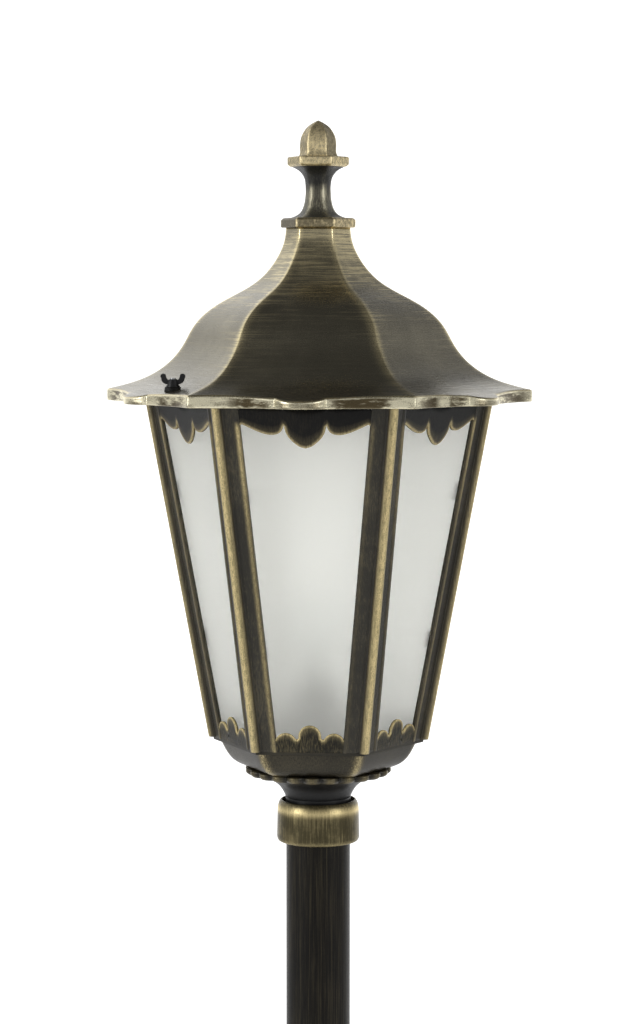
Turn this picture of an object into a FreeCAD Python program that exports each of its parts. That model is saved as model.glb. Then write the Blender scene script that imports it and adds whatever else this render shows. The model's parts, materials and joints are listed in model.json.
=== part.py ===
import FreeCAD, Part

import math
import os

from FreeCAD import Rotation, Vector

# Street lamp post: a round steel pole on a cast foot, carrying a tapered six-sided lantern
# with an ogee roof.  Millimetres.  The origin is on the ground under the pole, +Z is up,
# the front pane faces -Y, and two corners of the lantern lie on the X axis.

# ---------------------------------------------------------------- driving dimensions
GAP = 0.3                 # free clearance between parts that move past each other
SNUG = 0.05               # clearance of parts that are fitted together
SIDES = 6
FLAT = math.cos(math.radians(30.0))      # face distance of a hexagon of corner radius 1

# pole
POST_H = 1330.0           # ground to the underside of the collar
POLE_R = 30.0
POLE_WALL = 3.0
POLE_ABOVE_COLLAR_FOOT = 20.0

# foot
FOOT_FLANGE = 14.0
FOOT_H = 150.0
FOOT_HUB_R = POLE_R + 13.0
FOOT_SHOULDER_R = FOOT_HUB_R + 29.0
BOLT_CIRCLE_R = FOOT_SHOULDER_R + 28.0
FOOT_R = BOLT_CIRCLE_R + 25.0
BOLT_HOLE_R = 7.0
BOLT_COUNT = 4
FOOT_GRUB_R = 4.0
FOOT_GRUB_DOWN = 22.0     # foot's grub screws below its top
CABLE_R = 12.0
BUSH_R = CABLE_R + 8.0
BUSH_LIP_R = BUSH_R + 3.0
BUSH_LIP = 3.0

# collar
COLLAR_R = POLE_R + 8.7
COLLAR_TAPER = 0.6
COLLAR_H = 39.5
COLLAR_EDGE_LOW = 3.5
RECESS_R = POLE_R + 4.0
COLLAR_GRUB_R = 3.0
COLLAR_GRUB_H = 10.0

# neck, rosette and bowl
SPIGOT_L = 70.0
NECK_R = POLE_R + 0.5
NECK_H = 64.0             # underside of the collar to the rosette
NECK_STRAIGHT = 22.0
NECK_TOP_R = NECK_R + 19.5
NECK_WEB = 12.0
NECK_BORE_R = POLE_R - 10.0
NIPPLE_R = 10.0
NIPPLE_BORE_R = 7.5
NUT_ACROSS = 27.0
NUT_H = 7.0
NIPPLE_END = 2.0
ROSETTE_R = NECK_TOP_R + 16.4
ROSETTE_T = 6.0
ROSETTE_LOBES = 24
BOWL_H = 24.5
SHEET = 2.0
BOWL_SCREW_R = 2.5

# cage
SILL = 2.5                # thickness of the lower ring's plate
SILL_UPSTAND = 13.0
UPSTAND_T = 2.5
CAGE_H = 315.5
CAGE_LOW_R = 99.8         # hexagon corner radius at the posts' feet
CAGE_TOP_R = 158.5        # hexagon corner radius at the posts' heads
LEG = 20.5                # width of a post's leg along each pane
LEG_T = 4.2
LEG_FIELD = 0.9           # how far the leg's field lies below its raised edge
LEG_EDGE = 4.0            # width of the raised edge beside the glass
LEG_ROUND = 1.4           # width and depth of the raised edge's outer bevel
LEG_ROUND_DEPTH = 1.6
BEAD_OUT = 3.4            # how far the corner bead stands out of the corner
BEAD_ROOT = 5.0
KNEE = 12.0               # where the thickened corner of the post begins on each leg
GLASS_T = 3.0
GLASS_LAP = 7.0           # how far the post's leg covers the glass
GLASS_EDGE = LEG - GLASS_LAP
GLASS_HEAD_GAP = 2.0
GLASS_SLACK = 0.2
ORNAMENT_T = 2.6
ORNAMENT_SET = 0.7        # ornament's face behind the face of the posts
HEADER_T = 4.0
HEADER_IN_R = CAGE_TOP_R - 18.5
POST_SCREW_TOP_R = 2.0
POST_SCREW_LOW_R = 1.5
POST_SCREW_TOP_L = 14.0
POST_SCREW_LOW_L = 9.0
POST_SCREW_TOP_IN = 6.0   # screws this far inside the corner of the cage
POST_SCREW_LOW_IN = 5.3
CLIP_T = 1.2
CLIP_H = 16.0
CLIP_COUNT = 2            # clips above each other on every post
CLIP_PAD = 3.0            # length of a clip's pad on the glass
CLIP_RISE = 1.1           # inner face of a clip behind the glass
CLIP_HALF = 3.5           # half width of a clip's back
GASKET_T = 1.5

# bowl and bridge under the cage
BOWL_TOP_R = CAGE_LOW_R - 6.4
BOWL_FLOOR_R = BOWL_TOP_R - 25.0
BOWL_FLANGE_IN_R = CAGE_LOW_R - 29.8
BOWL_SCREW_AT = CAGE_LOW_R * FLAT - 19.4
BRIDGE_W = 26.0
BRIDGE_T = 2.5
BRIDGE_L = CAGE_LOW_R - 19.8
BRIDGE_SCREW_AT = BRIDGE_L - 5.0
BRIDGE_SCREW_R = 2.0

# roof
RIM_R = CAGE_TOP_R + 40.0 # hexagon corner radius of the rim
RIM_DROP = 0.2            # rim's lower edge below the header ring
RIM_BAND = 10.9           # height of the rim's upright edge at a corner
RIM_SLOPE = 0.2           # fall of the roof outside the rim's corner radius
ROOF_H = 159.7
ROOF_TOP_R = 30.5
ROOF_SHEET = 1.5
RIM_WALL = 2.0
RIM_CUSP = 7.5            # cusps and lobe stand out of the hexagon's side by these
RIM_LOBE = 19.0
RIM_CUSP_AT = 22.6
RIM_HOLLOW = 0.8
RIM_SHOULDER = 2.5
RIM_REACH = RIM_LOBE + 10.5   # slope of the roof carried past the corner before it is trimmed
OGEE = (
    # share of the spread between neck and rim, share of the roof's height
    (0.764, 0.145),
    (0.640, 0.236),
    (0.570, 0.330),
    (0.520, 0.424),
    (0.376, 0.562),
    (0.152, 0.700),
    (0.045, 0.837),
    (0.009, 0.931),
    (0.0, 1.0),
)
HEADER_OUT_R = RIM_R - 5.5
SEAT_FRAME_R = CAGE_TOP_R + 3.5
SEAT_FRAME_T = 3.5
SEAT_FRAME_H = 40.0
GASKET_LAP = 1.5          # gasket wider than the seat frame on its outside
GASKET_W = 6.0
ROOF_STUD_AT = RIM_R - 34.5
ROOF_STUD_R = 2.5
ROOF_STUD_PLAY = 0.5      # roof lifts straight off the studs with this play
ROOF_STUD_OUT = 1.0       # studs end this far above the wing nuts' hubs
BOSS_R = 7.5
BOSS_RISE = 0.4           # wing nut seat above the highest roof surface under it
STUD_NUT_ACROSS = 8.0
STUD_NUT_H = 4.0
WASHER_R = 6.2
WASHER_T = 1.2
THREAD_FIT = 0.06
WING_HUB_R = 5.2
WING_HUB_TOP_R = 4.1
WING_HUB_H = 5.5
WING_SPAN = 10.6
WING_H = 10.5
WING_T = 3.0
STUD_SIDES = (223.0, 43.0)

# finial
STUD_R = 4.0
PLATE_LOW_R = ROOF_TOP_R + 4.8
PLATE_LOW_T = 9.0
STEM_H = 46.8
STEM_FOOT_R = 27.5
STEM_WAIST_R = 13.0
STEM_HEAD_R = 26.0
PLATE_TOP_R = STEM_HEAD_R + 3.2
PLATE_TOP_T = 9.2
BUD_R = 18.6
BUD_H = 33.3
FINIAL_NUT_ACROSS = 13.0
FINIAL_NUT_H = 6.5

# lampholder, bulb and wiring
HOLDER_H = 54.5
HOLDER_BASE_H = 24.0
HOLDER_BASE_R = 16.5
HOLDER_R = HOLDER_BASE_R + 2.1
SKIRT_LIFT = 8.0          # lower edge of the holder's sleeve above the bracket
THREAD_SHELL_R = 14.4
THREAD_SHELL_T = 1.0
THREAD_PITCH = 3.6
THREAD_TURNS = 5
CAP_R = 13.0
CAP_H = 25.0
CAP_TIP = 2.2             # height of the holder's centre contact
BULB_R = 30.0
BULB_L = 107.0
BULB_WALL = 0.8
FILAMENT_R = 0.6
FILAMENT_SPAN = 26.0
STUB_FLANGE_R = 11.0
STUB_FLANGE_T = 3.0
STUB_BORE_R = 4.0
STUB_H = 7.0
TERMINAL_L = 30.0
TERMINAL_W = 17.0
TERMINAL_H = 13.0
TERMINAL_AT = 38.0
TERMINAL_PITCH = 10.0
TERMINAL_ROWS = 9.0
TERMINAL_WELL = 5.0
TERMINAL_WELL_R = 2.2
EARTH_AT = 34.0

# ---------------------------------------------------------------- levels, from the ground up
Z_NECK_TOP = POST_H + NECK_H
Z_BOWL = Z_NECK_TOP + ROSETTE_T
Z_SILL = Z_BOWL + BOWL_H
Z_CAGE = Z_SILL + SILL
Z_HEADER = Z_CAGE + CAGE_H
Z_HEADER_TOP = Z_HEADER + HEADER_T
Z_RIM = Z_HEADER - RIM_DROP
Z_ROOF_TOP = Z_RIM + ROOF_H
Z_STEM = Z_ROOF_TOP + PLATE_LOW_T
Z_PLATE_TOP = Z_STEM + STEM_H
Z_BUD = Z_PLATE_TOP + PLATE_TOP_T
Z_BRIDGE = Z_CAGE + BRIDGE_T
Z_HOLDER_TOP = Z_BRIDGE + HOLDER_H


# ---------------------------------------------------------------- helpers
def save(node, shape):
    """Write one sub-part."""
    if not shape.isValid():
        shape.fix(1e-4, 1e-4, 1e-3)
    volume = shape.Volume / 1000.0
    print(f"{node:22s} solids {len(shape.Solids):2d}  valid {shape.isValid()}  {volume:9.2f} cm3")
    shape.exportStep(f"parts/{node}.step")


def outline(start, *steps):
    """Open or closed wire: a point is a straight run, a pair an arc, a list a smooth curve."""
    edges = []
    here = start
    for step in steps:
        if isinstance(step, list):
            curve = Part.BSplineCurve()
            curve.interpolate([here] + step)
            edges.append(curve.toShape())
            here = step[-1]
        elif isinstance(step, tuple):
            edges.append(Part.Arc(here, step[0], step[1]).toShape())
            here = step[1]
        else:
            edges.append(Part.LineSegment(here, step).toShape())
            here = step
    return Part.Wire(edges)


def rz(radius, height):
    """Point of a turned or six-sided profile: distance from the axis, and height."""
    return Vector(radius, 0.0, height)


def polar(radius, degrees, height=0.0):
    angle = math.radians(degrees)
    return Vector(radius * math.cos(angle), radius * math.sin(angle), height)


def turned(start, *steps):
    """Solid turned about the axis from a closed profile."""
    return Part.Face(outline(start, *steps, start)).revolve(Vector(), Vector(0, 0, 1), 360)


def rod(radius, low, high, at=Vector()):
    return Part.makeCylinder(radius, high - low, at + Vector(0, 0, low))


def tube(outer, inner, low, high):
    return rod(outer, low, high).cut(rod(inner, low - 1.0, high + 1.0))


def polygon(radius, height):
    points = [polar(radius, 360.0 / SIDES * i, height) for i in range(SIDES)]
    return Part.makePolygon(points + points[:1])


def hex_prism(radius, low, high):
    return Part.Face(polygon(radius, low)).extrude(Vector(0, 0, high - low))


def hex_ring(outer, inner, low, high):
    return hex_prism(outer, low, high).cut(hex_prism(inner, low - 1.0, high + 1.0))


def hex_form(start, *steps):
    """Six-sided solid whose corners all follow one profile, closed flat at foot and head."""
    profile = outline(start, *steps)
    corners = []
    for i in range(SIDES):
        corner = profile.copy()
        corner.rotate(Vector(), Vector(0, 0, 1), 60.0 * i)
        corners.append(corner)
    faces = []
    for i in range(SIDES):
        for left, right in zip(corners[i].Edges, corners[(i + 1) % SIDES].Edges):
            faces.append(Part.makeRuledSurface(left, right))
    last = steps[-1][-1] if isinstance(steps[-1], (list, tuple)) else steps[-1]
    faces.append(Part.Face(polygon(start.x, start.z)))
    faces.append(Part.Face(polygon(last.x, last.z)))
    shell = Part.makeShell(faces)
    shell.sewShape()
    solid = Part.makeSolid(shell)
    if solid.Volume < 0:
        solid.reverse()
    return solid


def around(shape, count=SIDES, first=0.0):
    """Copies of a shape, evenly spaced about the axis."""
    copies = []
    for i in range(count):
        copy = shape.copy()
        copy.rotate(Vector(), Vector(0, 0, 1), first + 360.0 / count * i)
        copies.append(copy)
    return copies


def hex_nut(across, low, high, bore):
    corner = across / 2.0 / FLAT
    return hex_prism(corner, low, high).cut(rod(bore, low - 1.0, high + 1.0))


def moved(shape, offset):
    copy = shape.copy()
    copy.translate(offset)
    return copy


def pan_screw(shank_r, length, head_r, head_h):
    """Screw along -Z with its head's seat at the origin and a cross slot in the head."""
    head = turned(rz(0, 0), rz(head_r, 0), (rz(head_r * 0.86, head_h * 0.75), rz(0, head_h)))
    corner = Vector(-head_r * 0.6, -head_r * 0.13, head_h * 0.45)
    slot = Part.makeBox(head_r * 1.2, head_r * 0.26, head_h, corner)
    cross = slot.copy()
    cross.rotate(Vector(), Vector(0, 0, 1), 90)
    return head.cut(slot).cut(cross).fuse(rod(shank_r, -length, 0.2)).removeSplitter()


def set_screw(radius, length):
    """Headless screw along -X from the origin, with a hexagon socket in its outer end."""
    body = Part.makeCylinder(radius, length, Vector(), Vector(-1, 0, 0))
    socket = hex_prism(radius * 0.55, 0, length * 0.35)
    socket.rotate(Vector(), Vector(0, 1, 0), -90)
    return body.cut(socket)


def cage_r(height):
    """Corner radius of the cage's outer hexagon at a height."""
    return CAGE_LOW_R + (CAGE_TOP_R - CAGE_LOW_R) * (height - Z_CAGE) / CAGE_H


def face_plate(side, low, high, depth, thickness, edge):
    """Plate lying in one side of the cage, its side edges a fixed way from the corners."""
    wires = []
    for height in (low, high):
        face = cage_r(height) * FLAT - depth
        half = cage_r(height) / 2.0 - edge
        corners = [
            Vector(face, -half, height),
            Vector(face, half, height),
            Vector(face - thickness, half, height),
            Vector(face - thickness, -half, height),
        ]
        wires.append(Part.makePolygon(corners + corners[:1]))
    plate = Part.makeLoft(wires, True, True)
    plate.rotate(Vector(), Vector(0, 0, 1), side)
    return plate


# ---------------------------------------------------------------- foot and pole
def base_foot():
    body = turned(
        rz(0, 0),
        rz(FOOT_R - 1.5, 0),
        rz(FOOT_R, 1.5),
        rz(FOOT_R, FOOT_FLANGE - 4.0),
        (rz(FOOT_R - 1.2, FOOT_FLANGE - 1.2), rz(FOOT_R - 4.0, FOOT_FLANGE)),
        rz(FOOT_SHOULDER_R + 5.0, FOOT_FLANGE),
        (rz(FOOT_SHOULDER_R + 1.5, FOOT_FLANGE + 1.5), rz(FOOT_SHOULDER_R, FOOT_FLANGE + 5.0)),
        rz(FOOT_SHOULDER_R, FOOT_FLANGE + 12.0),
        [
            rz(FOOT_SHOULDER_R - 4.0, FOOT_FLANGE + 22.0),
            rz(FOOT_HUB_R + 9.0, FOOT_FLANGE + 40.0),
            rz(FOOT_HUB_R - 1.0, FOOT_FLANGE + 66.0),
            rz(FOOT_HUB_R - 4.0, FOOT_H - 46.0),
        ],
        rz(FOOT_HUB_R, FOOT_H - 44.0),
        (rz(FOOT_HUB_R + 3.0, FOOT_H - 40.0), rz(FOOT_HUB_R, FOOT_H - 36.0)),
        rz(FOOT_HUB_R - 2.0, FOOT_H - 35.0),
        rz(FOOT_HUB_R - 2.0, FOOT_H - 7.0),
        rz(FOOT_HUB_R, FOOT_H - 6.0),
        (rz(FOOT_HUB_R + 2.0, FOOT_H - 3.0), rz(FOOT_HUB_R - 1.0, FOOT_H)),
        rz(0, FOOT_H),
    )
    body = body.cut(rod(POLE_R + SNUG, FOOT_FLANGE, FOOT_H + 1.0))
    body = body.cut(rod(BUSH_R + SNUG, -1.0, FOOT_FLANGE + 1.0))
    body = body.cut(rod(BUSH_LIP_R + SNUG, FOOT_FLANGE - BUSH_LIP, FOOT_FLANGE + 1.0))
    for i in range(BOLT_COUNT):
        at = polar(BOLT_CIRCLE_R, 360.0 / BOLT_COUNT * (i + 0.5))
        body = body.cut(rod(BOLT_HOLE_R, -1.0, FOOT_FLANGE + 1.0, at))
    level = Vector(0, 0, FOOT_H - FOOT_GRUB_DOWN)
    drill = Part.makeCylinder(FOOT_GRUB_R + SNUG, FOOT_HUB_R + 5.0, level, Vector(1, 0, 0))
    for hole in around(drill, 3, 90.0):
        body = body.cut(hole)
    return body


def base_grub_screws():
    outer = FOOT_HUB_R - 2.5
    level = FOOT_H - FOOT_GRUB_DOWN
    screw = moved(set_screw(FOOT_GRUB_R, outer - POLE_R - SNUG), Vector(outer, 0, level))
    return Part.makeCompound(around(screw, 3, 90.0))


def cable_bush():
    return turned(
        rz(CABLE_R, 1.0),
        rz(BUSH_R, 1.0),
        rz(BUSH_R, FOOT_FLANGE - BUSH_LIP),
        rz(BUSH_LIP_R, FOOT_FLANGE - BUSH_LIP),
        rz(BUSH_LIP_R, FOOT_FLANGE - SNUG),
        rz(CABLE_R, FOOT_FLANGE - SNUG),
    )


def collar_drill(radius):
    level = Vector(0, 0, POST_H + COLLAR_GRUB_H)
    drill = Part.makeCylinder(radius, COLLAR_R + 5.0, level, Vector(1, 0, 0))
    return around(drill, 2, 60.0)[:1] + around(drill, 2, 120.0)[:1]


def pole_tube():
    top = POST_H + POLE_ABOVE_COLLAR_FOOT
    body = tube(POLE_R, POLE_R - POLE_WALL, FOOT_FLANGE, top)
    for hole in collar_drill(COLLAR_GRUB_R + SNUG):
        body = body.cut(hole)
    return body


def pole_collar():
    top = POST_H + COLLAR_H
    ledge = POST_H + POLE_ABOVE_COLLAR_FOOT
    upper_r = COLLAR_R - COLLAR_TAPER
    edge = upper_r - RECESS_R - 0.4
    foot = COLLAR_EDGE_LOW
    corner = 1.0 - math.sqrt(0.5)
    body = turned(
        rz(POLE_R + SNUG, POST_H),
        rz(COLLAR_R - foot, POST_H),
        (rz(COLLAR_R - foot * corner, POST_H + foot * corner), rz(COLLAR_R, POST_H + foot)),
        rz(upper_r, top - edge),
        (rz(upper_r - edge * corner, top - edge * corner), rz(upper_r - edge, top)),
        rz(RECESS_R, top),
        rz(RECESS_R, ledge),
        rz(POLE_R + SNUG, ledge),
    )
    for hole in collar_drill(COLLAR_GRUB_R + SNUG):
        body = body.cut(hole)
    return body


def collar_grub_screws():
    outer = COLLAR_R - 1.0
    spigot_r = POLE_R - POLE_WALL - SNUG
    length = outer - spigot_r - SNUG
    screw = moved(set_screw(COLLAR_GRUB_R, length), Vector(outer, 0, POST_H + COLLAR_GRUB_H))
    return Part.makeCompound(around(screw, 2, 60.0)[:1] + around(screw, 2, 120.0)[:1])


# ---------------------------------------------------------------- neck, rosette and bowl
def neck_socket():
    ledge = POST_H + POLE_ABOVE_COLLAR_FOOT
    low = ledge - SPIGOT_L
    spigot_r = POLE_R - POLE_WALL - SNUG
    straight = ledge + NECK_STRAIGHT
    web = Z_NECK_TOP - NECK_WEB
    return turned(
        rz(NECK_BORE_R, low),
        rz(spigot_r - 1.0, low),
        rz(spigot_r, low + 1.0),
        rz(spigot_r, ledge),
        rz(NECK_R, ledge),
        rz(NECK_R, straight),
        [
            rz(NECK_R + 1.6, straight + 4.0),
            rz(NECK_R + 6.8, straight + 11.5),
            rz(NECK_TOP_R - 4.0, Z_NECK_TOP - 4.0),
            rz(NECK_TOP_R, Z_NECK_TOP - 1.0),
        ],
        rz(NECK_TOP_R, Z_NECK_TOP),
        rz(NIPPLE_R + SNUG, Z_NECK_TOP),
        rz(NIPPLE_R + SNUG, web),
        rz(NECK_BORE_R, web),
    )


def neck_nipple():
    low = Z_NECK_TOP - NECK_WEB - NUT_H - NIPPLE_END
    high = Z_BOWL + SHEET + NUT_H + NIPPLE_END
    return tube(NIPPLE_R, NIPPLE_BORE_R, low, high)


def nipple_nuts():
    web = Z_NECK_TOP - NECK_WEB
    floor = Z_BOWL + SHEET
    below = hex_nut(NUT_ACROSS, web - NUT_H, web, NIPPLE_R + SNUG)
    above = hex_nut(NUT_ACROSS, floor, floor + NUT_H, NIPPLE_R + SNUG)
    return Part.makeCompound([below, above])


def rosette_ring():
    lobe_r = ROSETTE_R * math.sin(math.pi / ROSETTE_LOBES) * 1.06
    centre_r = ROSETTE_R * math.cos(math.pi / ROSETTE_LOBES) - lobe_r * 0.72
    disc = rod(centre_r + lobe_r * 0.35, Z_NECK_TOP, Z_BOWL)
    lobe = turned(
        rz(0, Z_NECK_TOP),
        rz(lobe_r - 2.4, Z_NECK_TOP),
        (rz(lobe_r - 0.7, Z_NECK_TOP + 0.9), rz(lobe_r, Z_NECK_TOP + 2.8)),
        rz(lobe_r, Z_BOWL),
        rz(0, Z_BOWL),
    )
    lobes = around(moved(lobe, Vector(centre_r, 0, 0)), ROSETTE_LOBES)
    body = disc.multiFuse(lobes).removeSplitter()
    return body.cut(rod(NIPPLE_R + SNUG, Z_NECK_TOP - 1.0, Z_BOWL + 1.0))


def bowl_skin(inset):
    """The bowl's outer form, or its hollow when inset by the sheet's thickness."""
    side = inset / FLAT
    return hex_form(
        rz(BOWL_FLOOR_R - side, Z_BOWL + inset),
        [
            rz(BOWL_FLOOR_R + (BOWL_TOP_R - BOWL_FLOOR_R) * 0.49 - side, Z_BOWL + BOWL_H * 0.22 + inset),
            rz(BOWL_FLOOR_R + (BOWL_TOP_R - BOWL_FLOOR_R) * 0.76 - side, Z_BOWL + BOWL_H * 0.53 + inset),
            rz(BOWL_TOP_R - side, Z_SILL),
        ],
    )


def bottom_bowl():
    body = bowl_skin(0.0).cut(bowl_skin(SHEET))
    flange = hex_ring(BOWL_TOP_R - SHEET, BOWL_FLANGE_IN_R, Z_SILL - SHEET, Z_SILL)
    body = body.fuse(flange.common(bowl_skin(0.0))).removeSplitter()
    body = body.cut(rod(NIPPLE_R + SNUG, Z_BOWL - 1.0, Z_BOWL + SHEET + 1.0))
    body = body.cut(rod(BOWL_SCREW_R + SNUG, Z_BOWL - 1.0, Z_BOWL + SHEET + 1.0, Vector(0, EARTH_AT, 0)))
    for at in bowl_screw_places():
        body = body.cut(rod(BOWL_SCREW_R + SNUG, Z_SILL - SHEET - 1.0, Z_SILL + 1.0, at))
    for at in bridge_screw_places():
        body = body.cut(rod(BRIDGE_SCREW_R + SNUG, Z_SILL - SHEET - 1.0, Z_SILL + 1.0, at))
    return body


def bowl_screw_places():
    return [polar(BOWL_SCREW_AT, 30.0 + 60.0 * i) for i in range(SIDES)]


def bridge_screw_places():
    return [Vector(BRIDGE_SCREW_AT, 0, 0), Vector(-BRIDGE_SCREW_AT, 0, 0)]


def bowl_screws():
    screw = pan_screw(BOWL_SCREW_R, SILL + SHEET + 6.0, 4.5, 3.2)
    return Part.makeCompound([moved(screw, at + Vector(0, 0, Z_CAGE)) for at in bowl_screw_places()])


def bowl_nuts():
    seat = Z_SILL - SHEET
    nut = hex_nut(STUD_NUT_ACROSS, seat - STUD_NUT_H, seat, BOWL_SCREW_R + SNUG)
    return Part.makeCompound([moved(nut, at) for at in bowl_screw_places()])


# ---------------------------------------------------------------- cage
def post_screw_place(low, inset):
    """Vertical screw inside the thickened corner of a post, on the +X corner."""
    return Vector(cage_r(low) - inset, 0, 0)


TOP_SCREW = post_screw_place(Z_HEADER, POST_SCREW_TOP_IN)
LOW_SCREW = post_screw_place(Z_CAGE, POST_SCREW_LOW_IN)


def bottom_ring():
    plate = hex_ring(CAGE_LOW_R - 1.2, BOWL_FLANGE_IN_R, Z_SILL, Z_CAGE)
    outer = (cage_r(Z_CAGE) * FLAT - LEG_T - GLASS_T - 2.0) / FLAT
    upstand = hex_ring(outer, outer - UPSTAND_T / FLAT, Z_CAGE - 0.5, Z_CAGE + SILL_UPSTAND)
    body = plate.fuse(upstand).removeSplitter()
    for at in bowl_screw_places():
        body = body.cut(rod(BOWL_SCREW_R + SNUG, Z_SILL - 1.0, Z_CAGE + 1.0, at))
    for at in bridge_screw_places():
        body = body.cut(rod(BRIDGE_SCREW_R + SNUG, Z_SILL - 1.0, Z_CAGE + 1.0, at))
    for hole in around(countersunk_screw(SNUG)):
        body = body.cut(hole)
    return body


def countersunk_screw(clearance):
    """Screw up into the foot of the +X post, its head flush with the ring's underside."""
    radius = POST_SCREW_LOW_R + clearance
    head_r = 2.8 + clearance
    top = Z_CAGE + POST_SCREW_LOW_L
    screw = turned(
        rz(0, Z_SILL),
        rz(head_r, Z_SILL),
        rz(head_r, Z_SILL + 0.3),
        rz(radius, Z_SILL + 0.3 + head_r - radius),
        rz(radius, top + clearance),
        rz(0, top + clearance),
    )
    return moved(screw, LOW_SCREW)


def header_screw():
    """Screw down into the head of the +X post, its head on the header ring."""
    screw = pan_screw(POST_SCREW_TOP_R, HEADER_T + POST_SCREW_TOP_L, 3.6, 2.8)
    return moved(screw, TOP_SCREW + Vector(0, 0, Z_HEADER_TOP))


def post_screws():
    return Part.makeCompound(around(header_screw()) + around(countersunk_screw(0.0)))


def roof_stud_places():
    return [polar(ROOF_STUD_AT, side) for side in STUD_SIDES]


def top_ring():
    body = hex_ring(HEADER_OUT_R, HEADER_IN_R, Z_HEADER, Z_HEADER_TOP)
    drill = rod(POST_SCREW_TOP_R + SNUG, Z_HEADER - 1.0, Z_HEADER_TOP + 1.0, TOP_SCREW)
    for hole in around(drill):
        body = body.cut(hole)
    for at in roof_stud_places():
        body = body.cut(rod(ROOF_STUD_R + SNUG, Z_HEADER - 1.0, Z_HEADER_TOP + 1.0, at))
    return body


def leg_point(side, along, depth):
    """Point of a post's section: along one leg from the corner, and depth behind its face."""
    return Vector(-0.5 * along - FLAT * depth, side * (FLAT * along - 0.5 * depth), 0)


def post_section():
    """Closed section of a post, corner at the origin and outwards along +X."""
    def leg(along, depth, side=1):
        return leg_point(side, along, depth)

    edge_in = LEG - LEG_EDGE
    wire = outline(
        leg(BEAD_ROOT, LEG_FIELD),
        (Vector(BEAD_OUT, 0, 0), leg(BEAD_ROOT, LEG_FIELD, -1)),
        leg(edge_in - LEG_FIELD, LEG_FIELD, -1),
        leg(edge_in, 0, -1),
        leg(LEG - LEG_ROUND, 0, -1),
        leg(LEG, LEG_ROUND_DEPTH, -1),
        leg(LEG, LEG_T, -1),
        leg(KNEE, LEG_T, -1),
        leg(KNEE, LEG_T),
        leg(LEG, LEG_T),
        leg(LEG, LEG_ROUND_DEPTH),
        leg(LEG - LEG_ROUND, 0),
        leg(edge_in, 0),
        leg(edge_in - LEG_FIELD, LEG_FIELD),
        leg(BEAD_ROOT, LEG_FIELD),
    )
    return Part.Face(wire)


def lean(low, high):
    """Run of a post's corner between two heights, on the +X corner."""
    return Vector(cage_r(high) - cage_r(low), 0, high - low)


def corner_post():
    section = moved(post_section(), Vector(cage_r(Z_CAGE), 0, Z_CAGE))
    body = section.extrude(lean(Z_CAGE, Z_HEADER))
    head_floor = Z_HEADER - POST_SCREW_TOP_L - SNUG
    foot_end = Z_CAGE + POST_SCREW_LOW_L + SNUG
    body = body.cut(rod(POST_SCREW_TOP_R + SNUG, head_floor, Z_HEADER + 1.0, TOP_SCREW))
    body = body.cut(rod(POST_SCREW_LOW_R + SNUG, Z_CAGE - 1.0, foot_end, LOW_SCREW))
    return body


def glass_pane(side):
    low = Z_CAGE + GLASS_SLACK
    high = Z_HEADER - GLASS_HEAD_GAP
    return face_plate(side, low, high, LEG_T + GLASS_SLACK, GLASS_T, GLASS_EDGE)


def pane_clips():
    """Spring clips that bridge each post on the inside and press on the two panes beside it."""
    back = LEG_T + GLASS_SLACK + GLASS_T
    heel = leg_point(1, KNEE, LEG_T).x

    def pad(along, depth, side=1):
        return leg_point(side, along, depth)

    outer = heel - SNUG
    inner = outer - CLIP_T * 1.4
    pad_in = max(GLASS_EDGE, KNEE) + 4.0
    pad_out = pad_in + CLIP_PAD
    section = Part.Face(Part.makePolygon([
        Vector(outer, -CLIP_HALF, 0),
        Vector(outer, CLIP_HALF, 0),
        pad(pad_in, back + CLIP_RISE),
        pad(pad_in, back + SNUG),
        pad(pad_out, back + SNUG),
        pad(pad_out, back + CLIP_RISE + CLIP_T),
        Vector(inner, CLIP_HALF + 0.7, 0),
        Vector(inner, -CLIP_HALF - 0.7, 0),
        pad(pad_out, back + CLIP_RISE + CLIP_T, -1),
        pad(pad_out, back + SNUG, -1),
        pad(pad_in, back + SNUG, -1),
        pad(pad_in, back + CLIP_RISE, -1),
        Vector(outer, -CLIP_HALF, 0),
    ]))
    clips = []
    for i in range(CLIP_COUNT):
        low = Z_CAGE + CAGE_H * (i + 0.64) / (CLIP_COUNT + 0.3)
        clip = moved(section, Vector(cage_r(low), 0, low)).extrude(lean(low, low + CLIP_H))
        clips += around(clip)
    return Part.makeCompound(clips)


def ornament(lower, steps, upper):
    """Cut-out plate between two posts, its wavy edge drawn on the side that faces +X."""
    wire = outline(lower, *steps)
    reach = CAGE_TOP_R
    pattern = Part.Face(wire).extrude(Vector(reach, 0, 0))
    low = Z_CAGE + SNUG
    plate = face_plate(0.0, low, upper, ORNAMENT_SET, ORNAMENT_T, LEG + SNUG)
    return plate.common(pattern)


def top_ornaments():
    """Lambrequin under the roof: a deep middle lobe with a shallow one on each side."""
    high = Z_HEADER - SNUG

    def at(across, down):
        return Vector(20.0, across, Z_HEADER - down)

    plate = ornament(
        at(-64, 0),
        [
            at(-64, 10),
            [at(-58, 14.0), at(-50, 18.5), at(-39, 23.2), at(-29, 25.0), at(-22, 22.6), at(-18.8, 16.5)],
            [at(-16.5, 24.5), at(-9.5, 32.5), at(0, 37.0), at(9.5, 32.5), at(16.5, 24.5), at(18.8, 16.5)],
            [at(22, 22.6), at(29, 25.0), at(39, 23.2), at(50, 18.5), at(58, 14.0), at(64, 10)],
            at(64, 0),
            at(-64, 0),
        ],
        high,
    )
    return Part.makeCompound(around(plate, SIDES, 30.0))


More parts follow.
